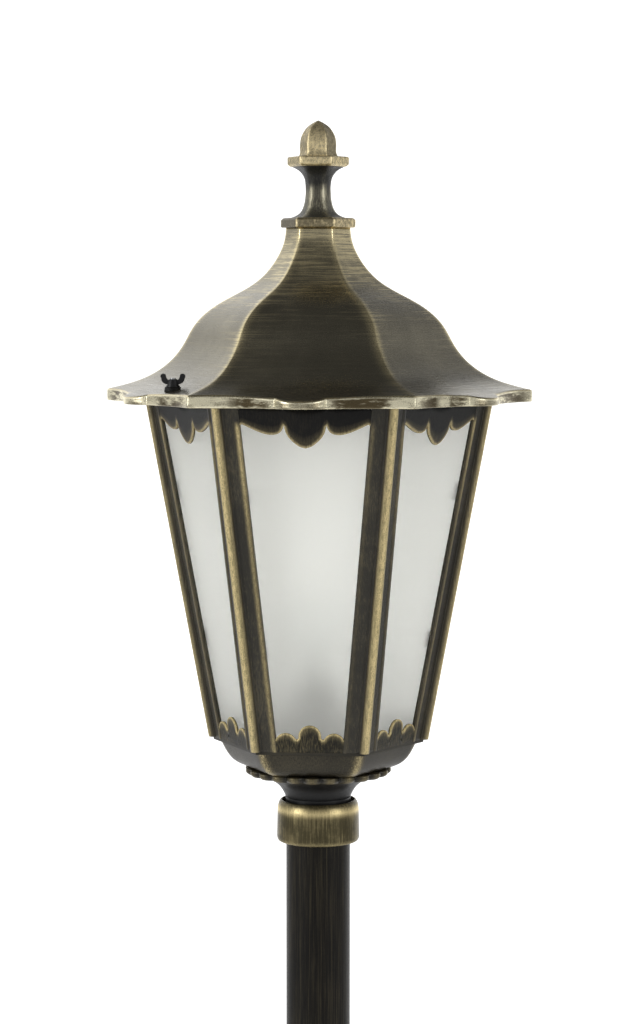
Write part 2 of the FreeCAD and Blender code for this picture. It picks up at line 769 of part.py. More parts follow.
def bottom_ornaments():
    """Three rounded crests standing on the sill, the middle one tallest."""
    def at(across, up):
        return Vector(20.0, across, Z_CAGE + up)

    plate = ornament(
        at(-36, 0),
        [
            at(-36, 10.6),
            (at(-33.6, 12.2), at(-31.0, 12.4)),
            (at(-22.0, 18.1), at(-13.0, 12.6)),
            (at(-11.5, 12.0), at(-10.2, 13.6)),
            (at(0, 25.4), at(10.2, 13.6)),
            (at(11.5, 12.0), at(13.0, 12.6)),
            (at(22.0, 18.1), at(31.0, 12.4)),
            (at(33.6, 12.2), at(36, 10.6)),
            at(36, 0),
            at(-36, 0),
        ],
        Z_CAGE + 40.0,
    )
    return Part.makeCompound(around(plate, SIDES, 30.0))


# ---------------------------------------------------------------- roof
def roof_form(inset, floor):
    """The roof's outer form carried past its rim, or its hollow when inset by the sheet."""
    side = inset / FLAT

    def at(radius, height):
        return rz(radius - side, height - inset)

    far = at(RIM_R + RIM_REACH, Z_RIM + RIM_BAND - RIM_REACH * RIM_SLOPE)
    return hex_form(rz(far.x, floor), far, [at(point.x, point.z) for point in roof_profile()])


def roof_profile():
    """Points of the roof's corner profile from the rim to the neck."""
    spread = RIM_R - ROOF_TOP_R
    points = [rz(RIM_R, Z_RIM + RIM_BAND)]
    return points + [rz(ROOF_TOP_R + spread * out, Z_RIM + ROOF_H * up) for out, up in OGEE]


def roof_level(face_distance):
    """Height of the roof's outer face this far out from the axis."""
    upright = Part.makeLine(rz(face_distance / FLAT, Z_RIM), rz(face_distance / FLAT, Z_ROOF_TOP))
    curve = Part.BSplineCurve()
    curve.interpolate(roof_profile())
    return curve.toShape().distToShape(upright)[1][0][0].z


def nut_seat():
    """Seat of the wing nuts' washers, just above the roof on the uphill side of the bosses."""
    off_middle = math.radians(STUD_SIDES[0] % 60.0 - 30.0)
    return roof_level(ROOF_STUD_AT * math.cos(off_middle) - BOSS_R) + BOSS_RISE


def rim_outline(inset, low, high):
    """Prism of the rim's wavy outline: on each side two cusps and a rounded lobe."""
    half = RIM_R / 2.0
    face = RIM_R * FLAT
    edges = []
    for i in range(SIDES):
        def at(across, out):
            point = Vector(face + out, across, low)
            return Rotation(Vector(0, 0, 1), 30.0 + 60.0 * i).multVec(point)

        side = outline(
            at(-half, 0),
            [
                at(-half * 0.72, -RIM_HOLLOW),
                at(-half * 0.45, RIM_SHOULDER),
                at(-RIM_CUSP_AT, RIM_CUSP),
            ],
            (at(0, RIM_LOBE), at(RIM_CUSP_AT, RIM_CUSP)),
            [
                at(half * 0.45, RIM_SHOULDER),
                at(half * 0.72, -RIM_HOLLOW),
                at(half, 0),
            ],
        )
        edges += side.Edges
    prism = Part.Face(Part.Wire(edges)).extrude(Vector(0, 0, high - low))
    share = (face - inset) / face
    matrix = FreeCAD.Matrix()
    matrix.scale(share, share, 1.0)
    return prism.transformGeometry(matrix) if inset else prism


def roof_hollow():
    floor = Z_RIM - 6.0
    return roof_form(ROOF_SHEET, floor).common(rim_outline(RIM_WALL, floor, Z_ROOF_TOP + 1.0))


def roof_shell(hollow):
    body = roof_form(0.0, Z_RIM).common(rim_outline(0.0, Z_RIM, Z_ROOF_TOP + 1.0))
    for at in roof_stud_places():
        body = body.fuse(rod(BOSS_R, Z_RIM + RIM_BAND, nut_seat(), at))
    body = body.cut(hollow)
    for at in roof_stud_places():
        body = body.cut(rod(ROOF_STUD_R + ROOF_STUD_PLAY, Z_RIM, nut_seat() + 5.0, at))
    return body.cut(rod(STUD_R + SNUG, Z_ROOF_TOP - 5.0, Z_ROOF_TOP + 5.0))


def roof_inner_frame(hollow):
    low = Z_HEADER_TOP + GASKET_T + GAP
    ring = hex_ring(SEAT_FRAME_R, SEAT_FRAME_R - SEAT_FRAME_T / FLAT, low, low + SEAT_FRAME_H)
    return ring.common(hollow)


def roof_gasket():
    outer = SEAT_FRAME_R + GASKET_LAP
    return hex_ring(outer, outer - GASKET_W, Z_HEADER_TOP, Z_HEADER_TOP + GASKET_T)


def roof_studs():
    low = Z_HEADER + SNUG
    high = nut_seat() + 2 * SNUG + WASHER_T + WING_HUB_H + ROOF_STUD_OUT
    return Part.makeCompound([rod(ROOF_STUD_R, low, high, at) for at in roof_stud_places()])


def roof_stud_nuts():
    nut = hex_nut(STUD_NUT_ACROSS, Z_HEADER_TOP, Z_HEADER_TOP + STUD_NUT_H, ROOF_STUD_R + SNUG)
    return Part.makeCompound([moved(nut, at) for at in roof_stud_places()])


def wing_washer(at):
    seat = nut_seat() + SNUG
    return moved(tube(WASHER_R, ROOF_STUD_R + GAP, seat, seat + WASHER_T), at)


def wing_nut(at):
    low = nut_seat() + WASHER_T + 2 * SNUG
    hub = turned(
        rz(0, low),
        rz(WING_HUB_R, low),
        rz(WING_HUB_R, low + 1.5),
        rz(WING_HUB_TOP_R, low + WING_HUB_H - 0.6),
        rz(WING_HUB_TOP_R - 0.6, low + WING_HUB_H),
        rz(0, low + WING_HUB_H),
    )
    body = hub
    for sign in (1, -1):
        def at_wing(out, up):
            return Vector(sign * out, -WING_T / 2.0, low + up)

        wing = Part.Face(outline(
            at_wing(2.6, 0.8),
            [at_wing(6.0, 1.0), at_wing(8.8, 2.6), at_wing(WING_SPAN - 0.3, WING_H * 0.6)],
            (at_wing(WING_SPAN - 0.9, WING_H - 0.3), at_wing(WING_SPAN - 4.0, WING_H * 0.9)),
            [at_wing(6.0, 7.0), at_wing(4.8, 5.2), at_wing(2.6, 4.8)],
            at_wing(2.6, 0.8),
        )).extrude(Vector(0, WING_T, 0))
        body = body.fuse(wing)
    body = body.removeSplitter()
    body = body.cut(rod(ROOF_STUD_R + THREAD_FIT, low - 1.0, low + WING_H + 1.0))
    return moved(body, at)


# ---------------------------------------------------------------- finial
def finial_plate(radius, low, thickness, under, over):
    """Six-sided plate, bevelled below and above by the given amounts."""
    high = low + thickness
    body = hex_form(
        rz(radius - under, low),
        rz(radius, low + under * 0.8),
        rz(radius, high - over * 0.8),
        rz(radius - over, high),
    )
    return body.cut(rod(STUD_R + SNUG, low - 1.0, high + 1.0))


def finial_stem():
    """Waisted stem that spreads out to the plates at both ends."""
    foot = STEM_FOOT_R - STEM_WAIST_R
    head = STEM_HEAD_R - STEM_WAIST_R
    body = hex_form(
        rz(STEM_FOOT_R, Z_STEM),
        [
            rz(STEM_WAIST_R + foot * 0.38, Z_STEM + STEM_H * 0.10),
            rz(STEM_WAIST_R + foot * 0.17, Z_STEM + STEM_H * 0.21),
            rz(STEM_WAIST_R + foot * 0.07, Z_STEM + STEM_H * 0.32),
            rz(STEM_WAIST_R, Z_STEM + STEM_H * 0.52),
            rz(STEM_WAIST_R + head * 0.06, Z_STEM + STEM_H * 0.73),
            rz(STEM_WAIST_R + head * 0.22, Z_STEM + STEM_H * 0.84),
            rz(STEM_WAIST_R + head * 0.58, Z_STEM + STEM_H * 0.94),
            rz(STEM_HEAD_R, Z_PLATE_TOP),
        ],
    )
    return body.cut(rod(STUD_R + SNUG, Z_STEM - 1.0, Z_PLATE_TOP + 1.0))


def finial_bud():
    body = hex_form(
        rz(BUD_R - 2.0, Z_BUD),
        (rz(BUD_R + 0.2, Z_BUD + 2.0), rz(BUD_R - 1.2, Z_BUD + 4.6)),
        [
            rz(BUD_R - 1.1, Z_BUD + BUD_H * 0.36),
            rz(BUD_R - 3.0, Z_BUD + BUD_H * 0.60),
            rz(BUD_R - 7.8, Z_BUD + BUD_H * 0.82),
            rz(0.8, Z_BUD + BUD_H),
        ],
    )
    return body.cut(rod(STUD_R + SNUG, Z_BUD - 1.0, Z_BUD + BUD_H * 0.5 + SNUG))


def finial_stud():
    low = Z_ROOF_TOP - ROOF_SHEET - FINIAL_NUT_H - 4.0
    return rod(STUD_R, low, Z_BUD + BUD_H * 0.5)


def finial_nut():
    seat = Z_ROOF_TOP - ROOF_SHEET
    return hex_nut(FINIAL_NUT_ACROSS, seat - FINIAL_NUT_H, seat, STUD_R + SNUG)


# ---------------------------------------------------------------- lampholder, bulb, wiring
def holder_bracket():
    strip = Part.makeBox(2 * BRIDGE_L, BRIDGE_W, BRIDGE_T, Vector(-BRIDGE_L, -BRIDGE_W / 2.0, Z_CAGE))
    upright = [edge for edge in strip.Edges if abs(edge.tangentAt(edge.FirstParameter).z) > 0.9]
    strip = strip.makeFillet(8.0, upright)
    strip = strip.cut(rod(NIPPLE_BORE_R, Z_CAGE - 1.0, Z_BRIDGE + 1.0))
    for at in bridge_screw_places():
        strip = strip.cut(rod(BRIDGE_SCREW_R + SNUG, Z_CAGE - 1.0, Z_BRIDGE + 1.0, at))
    return strip


def bracket_screws():
    screw = pan_screw(BRIDGE_SCREW_R, BRIDGE_T + SILL + SHEET + 3.0, 3.8, 2.8)
    return Part.makeCompound([moved(screw, at + Vector(0, 0, Z_BRIDGE)) for at in bridge_screw_places()])


def holder_nipple():
    """Hollow threaded stub that clamps the holder to the bracket, with a flange below it."""
    top = Z_BRIDGE + STUB_H
    low = Z_CAGE - STUB_FLANGE_T
    radius = NIPPLE_BORE_R - SNUG
    return turned(
        rz(STUB_BORE_R, low),
        rz(STUB_FLANGE_R, low),
        rz(STUB_FLANGE_R, Z_CAGE),
        rz(radius, Z_CAGE),
        rz(radius, top),
        rz(STUB_BORE_R, top),
    )


def lampholder_base():
    """Ceramic foot of the lampholder."""
    top = Z_BRIDGE + HOLDER_BASE_H
    body = turned(
        rz(0, Z_BRIDGE),
        rz(HOLDER_BASE_R - 2.0, Z_BRIDGE),
        rz(HOLDER_BASE_R, Z_BRIDGE + 2.0),
        rz(HOLDER_BASE_R, top - 1.0),
        rz(HOLDER_BASE_R - 1.0, top),
        rz(0, top),
    )
    return body.cut(rod(NIPPLE_BORE_R, Z_BRIDGE - 1.0, Z_BRIDGE + STUB_H))


def lampholder_skirt():
    """Moulded sleeve screwed over the foot, ribbed at its lower edge."""
    low = Z_BRIDGE + SKIRT_LIFT
    inner = HOLDER_BASE_R + SNUG
    return turned(
        rz(inner, low),
        rz(HOLDER_R - 0.8, low),
        rz(HOLDER_R, low + 0.8),
        rz(HOLDER_R, low + 9.0),
        rz(HOLDER_R - 0.8, low + 10.0),
        rz(HOLDER_R - 0.8, low + 11.5),
        rz(HOLDER_R, low + 12.5),
        rz(HOLDER_R, Z_HOLDER_TOP - 3.0),
        (rz(HOLDER_R - 0.6, Z_HOLDER_TOP - 0.9), rz(HOLDER_R - 2.0, Z_HOLDER_TOP)),
        rz(THREAD_SHELL_R + 0.6, Z_HOLDER_TOP),
        rz(THREAD_SHELL_R + 0.6, Z_HOLDER_TOP - 5.0),
        rz(inner, Z_HOLDER_TOP - 7.0),
    )


def holder_deck():
    return Z_BRIDGE + HOLDER_BASE_H


def lampholder_thread():
    """Threaded brass shell that takes the bulb's cap, shown with its rolled thread."""
    low = holder_deck() + SNUG
    high = Z_HOLDER_TOP - 2.0
    steps = []
    for i in range(THREAD_TURNS):
        base = low + 3.0 + THREAD_PITCH * i
        crest = rz(THREAD_SHELL_R + 0.35, base + THREAD_PITCH / 2.0)
        steps.append((crest, rz(THREAD_SHELL_R, base + THREAD_PITCH)))
    inner = THREAD_SHELL_R - THREAD_SHELL_T
    return turned(
        rz(inner, low),
        rz(THREAD_SHELL_R, low),
        rz(THREAD_SHELL_R, low + 3.0),
        *steps,
        rz(THREAD_SHELL_R, high),
        rz(inner, high),
    )


def lampholder_contact():
    """Centre contact on the deck of the foot."""
    low = holder_deck() + SNUG
    top = low + CAP_TIP
    return turned(rz(0, low), rz(5.0, low), rz(5.0, top - 1.0), rz(2.5, top), rz(0, top))


def bulb_levels():
    tip = holder_deck() + SNUG + CAP_TIP + GAP
    return tip, tip + CAP_H


def bulb_cap():
    """Screw cap of the bulb."""
    tip, top = bulb_levels()
    body = [
        rz(3.2, tip),
        rz(4.2, tip + 1.6),
        rz(CAP_R - 2.2, tip + 4.4),
        rz(CAP_R - 0.5, tip + 5.4),
    ]
    threads = []
    level = tip + 5.4
    while level + THREAD_PITCH < top - 2.0:
        crest = rz(CAP_R, level + THREAD_PITCH / 2.0)
        level += THREAD_PITCH
        threads.append((crest, rz(CAP_R - 0.5, level)))
    return turned(rz(0, tip), *body, *threads, rz(CAP_R - 0.5, top), rz(0, top))


def bulb_glass_form(inset):
    """Pear-shaped envelope, or its hollow when inset by the glass wall."""
    tip, top = bulb_levels()
    crown = tip + BULB_L
    centre = crown - BULB_R
    neck = CAP_R - 1.0
    slant = (BULB_R - inset) * math.sqrt(0.5)
    low = top + SNUG + inset
    return turned(
        rz(0, low),
        rz(neck - inset, low),
        [
            rz(neck + 0.6 - inset, top + 9.0),
            rz(neck + 6.0 - inset, top + 24.0),
            rz(BULB_R * 0.86 - inset, centre - BULB_R * 0.5),
            rz(BULB_R - inset, centre),
        ],
        (rz(slant, centre + slant), rz(0, crown - inset)),
    )


def bulb_glass():
    return bulb_glass_form(0.0).cut(bulb_glass_form(BULB_WALL))


def bulb_filament():
    """Glass stem with its two supports and the filament across their ends."""
    tip, top = bulb_levels()
    low = top + SNUG + BULB_WALL + SNUG
    stem_top = top + 30.0
    wire_top = top + 46.0
    body = rod(4.0, low, stem_top)
    reach = FILAMENT_SPAN / 2.0
    for sign in (-1, 1):
        foot = Vector(sign * 2.0, 0, stem_top - 2.0)
        head = Vector(sign * reach, 0, wire_top)
        run = head - foot
        body = body.fuse(Part.makeCylinder(FILAMENT_R, run.Length, foot, run))
        body = body.fuse(Part.makeSphere(FILAMENT_R * 1.3, head))
    coil = Part.makeCylinder(FILAMENT_R, FILAMENT_SPAN, Vector(-reach, 0, wire_top), Vector(1, 0, 0))
    return body.fuse(coil).removeSplitter()


def earth_screw():
    """Earthing screw in the bowl's floor, with its clamp washer."""
    floor = Z_BOWL + SHEET
    at = Vector(0, EARTH_AT, floor)
    screw = moved(pan_screw(BOWL_SCREW_R, 3.0 + SHEET, 4.5, 3.2), at + Vector(0, 0, 3.0))
    collar = moved(rod(6.0, 0, 1.2), at)
    return screw.fuse(collar).removeSplitter()


def terminal_screw_places():
    rows = (-TERMINAL_ROWS / 2.0, TERMINAL_ROWS / 2.0)
    ways = (-TERMINAL_PITCH, 0.0, TERMINAL_PITCH)
    return [Vector(TERMINAL_AT + across, along, 0) for across in rows for along in ways]


def terminal_block():
    floor = Z_BOWL + SHEET
    corner = Vector(TERMINAL_AT - TERMINAL_W / 2.0, -TERMINAL_L / 2.0, floor)
    body = Part.makeBox(TERMINAL_W, TERMINAL_L, TERMINAL_H, corner)
    upright = [edge for edge in body.Edges if abs(edge.tangentAt(edge.FirstParameter).z) > 0.9]
    body = body.makeFillet(1.5, upright)
    for at in terminal_screw_places():
        well = floor + TERMINAL_H - TERMINAL_WELL
        body = body.cut(rod(TERMINAL_WELL_R, well, floor + TERMINAL_H + 1.0, at))
    for along in (-TERMINAL_PITCH / 2.0, TERMINAL_PITCH / 2.0):
        start = corner + Vector(-1.0, TERMINAL_L / 2.0 + along - 0.6, TERMINAL_H - 3.0)
        body = body.cut(Part.makeBox(TERMINAL_W + 2.0, 1.2, 3.0, start))
    return body


def terminal_screws():
    low = Z_BOWL + SHEET + TERMINAL_H - TERMINAL_WELL
    slot = Part.makeBox(5.0, 0.6, 1.0, Vector(-2.5, -0.3, 2.6))
    screw = rod(TERMINAL_WELL_R - 2 * SNUG, 0, 3.4).cut(slot)
    return Part.makeCompound([moved(screw, at + Vector(0, 0, low)) for at in terminal_screw_places()])


# ---------------------------------------------------------------- build
def build():
    os.makedirs("parts", exist_ok=True)
    hollow = roof_hollow()
    left, right = roof_stud_places()
    save("base_foot", base_foot())
    save("base_grub_screws", base_grub_screws())
    save("cable_bush", cable_bush())
    save("pole_tube", pole_tube())
    save("pole_collar", pole_collar())
    save("collar_grub_screws", collar_grub_screws())
    save("neck_socket", neck_socket())
    save("neck_nipple", neck_nipple())
    save("nipple_nuts", nipple_nuts())
    save("rosette_ring", rosette_ring())
    save("bottom_bowl", bottom_bowl())
    save("bowl_screws", bowl_screws())
    save("bowl_nuts", bowl_nuts())
    save("bottom_ring", bottom_ring())
    save("top_ring", top_ring())
    for i, post in enumerate(around(corner_post())):
        save(f"corner_post_{i + 1}", post)
    for i in range(SIDES):
        save(f"glass_pane_{i + 1}", glass_pane(30.0 + 60.0 * i))
    save("pane_clips", pane_clips())
    save("post_screws", post_screws())
    save("top_ornaments", top_ornaments())
    save("bottom_ornaments", bottom_ornaments())
    save("roof_gasket", roof_gasket())
    save("roof_studs", roof_studs())
    save("roof_stud_nuts", roof_stud_nuts())
    save("roof_shell", roof_shell(hollow))
    save("roof_inner_frame", roof_inner_frame(hollow))
    save("finial_base_plate", finial_plate(PLATE_LOW_R, Z_ROOF_TOP, PLATE_LOW_T, 1.0, 2.4))
    save("finial_stem", finial_stem())
    save("finial_cap_plate", finial_plate(PLATE_TOP_R, Z_PLATE_TOP, PLATE_TOP_T, 2.6, 1.2))
    save("finial_bud", finial_bud())
    save("finial_stud", finial_stud())
    save("finial_nut", finial_nut())
    save("wing_washer_left", wing_washer(left))
    save("wing_washer_right", wing_washer(right))
    save("wing_nut_left", wing_nut(left))
    save("wing_nut_right", wing_nut(right))
    save("holder_bracket", holder_bracket())
    save("bracket_screws", bracket_screws())
    save("holder_nipple", holder_nipple())
    save("lampholder_base", lampholder_base())
    save("lampholder_skirt", lampholder_skirt())
    save("lampholder_thread", lampholder_thread())
    save("lampholder_contact", lampholder_contact())
    save("bulb_cap", bulb_cap())
    save("bulb_glass", bulb_glass())
    save("bulb_filament", bulb_filament())
    save("terminal_block", terminal_block())
    save("terminal_screws", terminal_screws())
    save("earth_screw", earth_screw())


build()
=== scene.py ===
import json
import math

import bpy
import numpy as np
from mathutils import Matrix, Vector, noise


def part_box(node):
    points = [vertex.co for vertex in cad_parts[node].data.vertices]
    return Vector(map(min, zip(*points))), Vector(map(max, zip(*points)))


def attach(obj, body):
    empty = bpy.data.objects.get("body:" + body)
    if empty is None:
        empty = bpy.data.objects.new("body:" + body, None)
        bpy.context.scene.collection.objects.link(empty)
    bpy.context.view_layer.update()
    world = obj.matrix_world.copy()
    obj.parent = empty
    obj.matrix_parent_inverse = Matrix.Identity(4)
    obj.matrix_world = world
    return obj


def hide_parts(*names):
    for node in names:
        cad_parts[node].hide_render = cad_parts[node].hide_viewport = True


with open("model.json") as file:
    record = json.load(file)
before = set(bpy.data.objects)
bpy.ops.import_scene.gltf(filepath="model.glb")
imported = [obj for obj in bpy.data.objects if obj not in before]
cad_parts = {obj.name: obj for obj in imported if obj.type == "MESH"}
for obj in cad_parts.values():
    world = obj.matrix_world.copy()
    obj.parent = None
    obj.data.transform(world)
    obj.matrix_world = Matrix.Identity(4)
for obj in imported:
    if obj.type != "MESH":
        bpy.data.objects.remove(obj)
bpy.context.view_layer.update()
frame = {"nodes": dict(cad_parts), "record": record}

MM = 0.001
SIDES = 6
FLAT = math.cos(math.radians(30.0))      # face distance of a hexagon of corner radius 1
FACE_AT = 30.0                           # degrees from +X to the first side's middle
SIDE_STEP = 60.0
CREASE = 1.9                             # width of a worn corner, in roundings
DENT = 6.5 * MM                          # size of the casting's uneven spots
ROUNDED_SHARE = 0.45                     # most of an edge that one rounded corner may take
STRAIGHT = 0.25                          # bends whose sine is under this stay as they are


# ---------------------------------------------------------------- mesh helpers
def smooth_curve(points, steps):
    """Points of the natural cubic curve through a few given ones."""
    given = np.array(points, float)
    knots = np.concatenate([[0.0], np.cumsum(np.linalg.norm(np.diff(given, axis=0), axis=1))])
    gaps = np.diff(knots)
    count = len(given)
    system = np.eye(count)
    bends = np.zeros_like(given)
    for i in range(1, count - 1):
        system[i, i - 1 : i + 2] = gaps[i - 1], 2 * (gaps[i - 1] + gaps[i]), gaps[i]
        bends[i] = 6 * ((given[i + 1] - given[i]) / gaps[i] - (given[i] - given[i - 1]) / gaps[i - 1])
    second = np.linalg.solve(system, bends)
    at = np.linspace(0, knots[-1], steps)
    k = np.clip(np.searchsorted(knots, at, side="right") - 1, 0, count - 2)
    u = (at - knots[k])[:, None]
    v = (knots[k + 1] - at)[:, None]
    w = gaps[k][:, None]
    left = given[k] / w - second[k] * w / 6
    right = given[k + 1] / w - second[k + 1] * w / 6
    return (second[k] * v ** 3 + second[k + 1] * u ** 3) / (6 * w) + left * v + right * u


def arc(start, end, sag, steps):
    """Points from start to end on an arc that bulges by sag to the left of the way there."""
    start, end = np.array(start, float), np.array(end, float)
    chord = end - start
    half = np.linalg.norm(chord) / 2
    radius = (half * half + sag * sag) / (2 * abs(sag))
    left = np.array([-chord[1], chord[0]]) / (2 * half) * math.copysign(1, sag)
    centre = (start + end) / 2 + left * (abs(sag) - radius)
    sweep = 2 * math.asin(min(1.0, half / radius))
    if abs(sag) > half:
        sweep = 2 * math.pi - sweep
    points = []
    for t in np.linspace(-0.5, 0.5, steps):
        along = chord / (2 * half)
        points.append(centre + radius * (left * math.cos(t * sweep) + along * math.sin(t * sweep)))
    return np.array(points)


def loft(name, rings, wrap=True, **fields):
    """Mesh of closed rings joined one to the next; the last joins the first, or both ends are capped."""
    rings = np.asarray(rings, float)
    count, size = rings.shape[:2]
    index = np.arange(count * size).reshape(count, size)
    first = index if wrap else index[:-1]
    after = np.roll(index, -1, axis=0) if wrap else index[1:]
    quads = np.stack([first, np.roll(first, -1, axis=1), np.roll(after, -1, axis=1), after], axis=-1)
    faces = quads.reshape(-1, 4).tolist()
    if not wrap:
        faces.append(index[0][::-1].tolist())
        faces.append(index[-1].tolist())
    mesh = bpy.data.meshes.new(name)
    mesh.from_pydata(rings.reshape(-1, 3).tolist(), [], faces)
    for key, values in fields.items():
        attribute = mesh.attributes.new(key, "FLOAT", "POINT")
        attribute.data.foreach_set("value", np.asarray(values, np.float32).ravel())
    mesh.validate()
    mesh.shade_smooth()
    return mesh


def outward(mesh):
    """Face winding that looks out of the closed mesh."""
    volume = 0.0
    for polygon in mesh.polygons:
        volume += polygon.center.dot(polygon.normal) * polygon.area
    if volume < 0:
        mesh.flip_normals()
    return mesh


def piece(name, mesh, body, slot, material, *nodes):
    """A finished piece that rides on a body and stands for CAD nodes."""
    made = bpy.data.objects.new(name, outward(mesh))
    bpy.context.scene.collection.objects.link(made)
    made.data.materials.append(material)
    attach(made, body)
    if nodes:
        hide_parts(*nodes)
    return made


def grain(point, size, seed=0.0):
    """Smooth noise from about -1 to 1 with features of the given size."""
    return noise.noise(Vector((point[0] / size + seed, point[1] / size, point[2] / size)))


def side_turn(side):
    """Direction that a side of the hexagon faces."""
    return math.radians(FACE_AT + SIDE_STEP * side)


def hex_share(segments):
    """Places along one side from corner to corner, -1 to 1, closer together at the corners."""
    return [math.sin(math.pi * (i / segments - 0.5)) for i in range(segments)]


def bell(x):
    """Smooth hump, 1 at the middle."""
    return math.exp(-x ** 2)


def rise(value, start, reach):
    """Straight climb from 0 at start to 1 over the reach, held level outside it."""
    return min(1.0, max(0.0, (value - start) / reach))


def softened(radius, angle, rounding):
    """Share by which a hexagon's corner draws in when its edge is rounded."""
    softest = 8.0
    power = max(radius / rounding, softest)
    near = math.cos(angle)
    far = math.cos(math.radians(60.0) - abs(angle))
    return (1.0 + (far / near) ** power) ** (-1.0 / power)


def hex_loft(name, profile, rounding, segments=20, edge_fields=None, shade=None, hammered=0.0,
             crease=1.0, facets=(1.0,) * 6):
    """Six-sided form whose corners follow a closed profile of (corner radius, height).

    crease is how bare its corners are rubbed, facets how bare each of its six faces is.
    """
    shares = hex_share(segments)
    rings = []
    ridge = []
    for side in range(SIDES):
        turn = side_turn(side)
        for share in shares:
            ring = []
            tone = []
            for radius, height in profile:
                face, across = radius * FLAT, share * radius / 2
                pull = softened(radius, math.atan2(across, face), rounding) if radius > 1e-6 else 1.0
                x, y = face * pull, across * pull
                x, y = x * math.cos(turn) - y * math.sin(turn), x * math.sin(turn) + y * math.cos(turn)
                if hammered:
                    dent = 1.0 - hammered * (1.0 + grain((x, y, height), DENT)) / max(radius, 4 * MM)
                    x, y = x * dent, y * dent
                ring.append((x, y, height))
                from_corner = (1.0 - abs(share)) * radius / 2
                tone.append(crease * bell(from_corner / (CREASE * rounding)))
            rings.append(ring)
            ridge.append(tone)
    none = [0.0] * len(profile)
    edge = np.tile(np.array(none if edge_fields is None else edge_fields), (len(rings), 1))
    edge *= np.repeat(np.array(facets), len(shares))[:, None]
    shade = np.tile(np.array(none if shade is None else shade), (len(rings), 1))
    edge = np.maximum(edge, np.array(ridge)) * (1.0 - shade)
    return loft(name, rings, edge=edge, brushed=edge)


def lathe(name, profile, segments=96, edge=None, wave=None, bare=None):
    """Turned form of a closed profile of (radius, height).

    wave scales the radius by angle and profile point, bare the brass by angle.
    """
    rings = []
    for i in range(segments):
        angle = 2 * math.pi * i / segments
        ring = []
        for k, (radius, height) in enumerate(profile):
            r = radius * (wave(angle, k) if wave else 1.0)
            ring.append((r * math.cos(angle), r * math.sin(angle), height))
        rings.append(ring)
    tones = np.tile(np.array(edge if edge is not None else [0.0] * len(profile)), (segments, 1))
    if bare:
        tones = tones * np.array([[bare(2 * math.pi * i / segments)] for i in range(segments)])
    return loft(name, rings, edge=tones)


def rounded_profile(points, radius, steps=4):
    """Closed polygon of (radius, height) with its corners rounded, and how near an edge each point is."""
    points = [np.array(p[:2], float) for p in points]
    result = []
    tones = []
    count = len(points)
    for i, here in enumerate(points):
        before = points[i - 1] - here
        after = points[(i + 1) % count] - here
        long_before, long_after = np.linalg.norm(before), np.linalg.norm(after)
        reach = min(radius, long_before * ROUNDED_SHARE, long_after * ROUNDED_SHARE)
        a = here + before / long_before * reach
        b = here + after / long_after * reach
        bend = abs(before[0] * after[1] - before[1] * after[0]) / (long_before * long_after)
        if bend < STRAIGHT:
            result.append(here)
            tones.append(0.0)
            continue
        for t in np.linspace(0, 1, steps):
            result.append((1 - t) ** 2 * a + 2 * t * (1 - t) * here + t * t * b)
            tones.append(1.0)
    return result, tones


# ---------------------------------------------------------------- materials
class Surface:
    """A material's node tree, built with short calls."""

    def __init__(self, name):
        self.material = bpy.data.materials.new(name)
        self.material.use_nodes = True
        self.tree = self.material.node_tree
        self.shader = self.tree.nodes["Principled BSDF"]
        self.coord = self.tree.nodes.new("ShaderNodeTexCoord").outputs["Object"]

    def put(self, socket, value):
        if isinstance(value, bpy.types.NodeSocket):
            self.tree.links.new(value, socket)
        else:
            socket.default_value = value

    def noise(self, scale, detail=3.0, rough=0.55):
        """Noise from 0 to 1; scale is features per metre along X, Y and Z."""
        mapping = self.tree.nodes.new("ShaderNodeMapping")
        self.put(mapping.inputs["Vector"], self.coord)
        mapping.inputs["Scale"].default_value = scale
        node = self.tree.nodes.new("ShaderNodeTexNoise")
        self.put(node.inputs["Vector"], mapping.outputs["Vector"])
        node.inputs["Scale"].default_value = 1.0
        node.inputs["Detail"].default_value = detail
        node.inputs["Roughness"].default_value = rough
        return node.outputs["Fac"]

    def step(self, value, low, high, to_low=0.0, to_high=1.0):
        """Smooth step of a value between two levels."""
        node = self.tree.nodes.new("ShaderNodeMapRange")
        node.interpolation_type = "SMOOTHSTEP"
        self.put(node.inputs["Value"], value)
        for key, level in (("From Min", low), ("From Max", high), ("To Min", to_low), ("To Max", to_high)):
            node.inputs[key].default_value = level
        return node.outputs["Result"]

    def math(self, kind, a, b=0.0, clamp=False):
        node = self.tree.nodes.new("ShaderNodeMath")
        node.operation = kind
        node.use_clamp = clamp
        self.put(node.inputs[0], a)
        self.put(node.inputs[1], b)
        return node.outputs[0]

    def mix(self, share, a, b):
        """Blend of two colours."""
        node = self.tree.nodes.new("ShaderNodeMix")
        node.data_type = "RGBA"
        self.put(node.inputs[0], share)
        for socket, value in ((node.inputs[6], a), (node.inputs[7], b)):
            self.put(socket, (*value, 1.0) if isinstance(value, tuple) else value)
        return node.outputs[2]

    def field(self, name):
        """A value carried by the mesh."""
        node = self.tree.nodes.new("ShaderNodeAttribute")
        node.attribute_name = name
        return node.outputs["Fac"]

    def bump(self, height, depth):
        node = self.tree.nodes.new("ShaderNodeBump")
        node.inputs["Strength"].default_value = 1.0
        node.inputs["Distance"].default_value = depth
        self.put(node.inputs["Height"], height)
        return node.outputs["Normal"]

    def finish(self, color=None, metallic=None, roughness=None, normal=None, **sockets):
        given = {"Base Color": color, "Metallic": metallic, "Roughness": roughness, "Normal": normal}
        for key, value in given.items():
            if isinstance(value, tuple):
                value = (*value, 1.0)
            if value is not None:
                self.put(self.shader.inputs[key], value)
        for key, value in sockets.items():
            self.shader.inputs[key.replace("_", " ")].default_value = value
        return self.material


BRASS = (0.60, 0.50, 0.28)


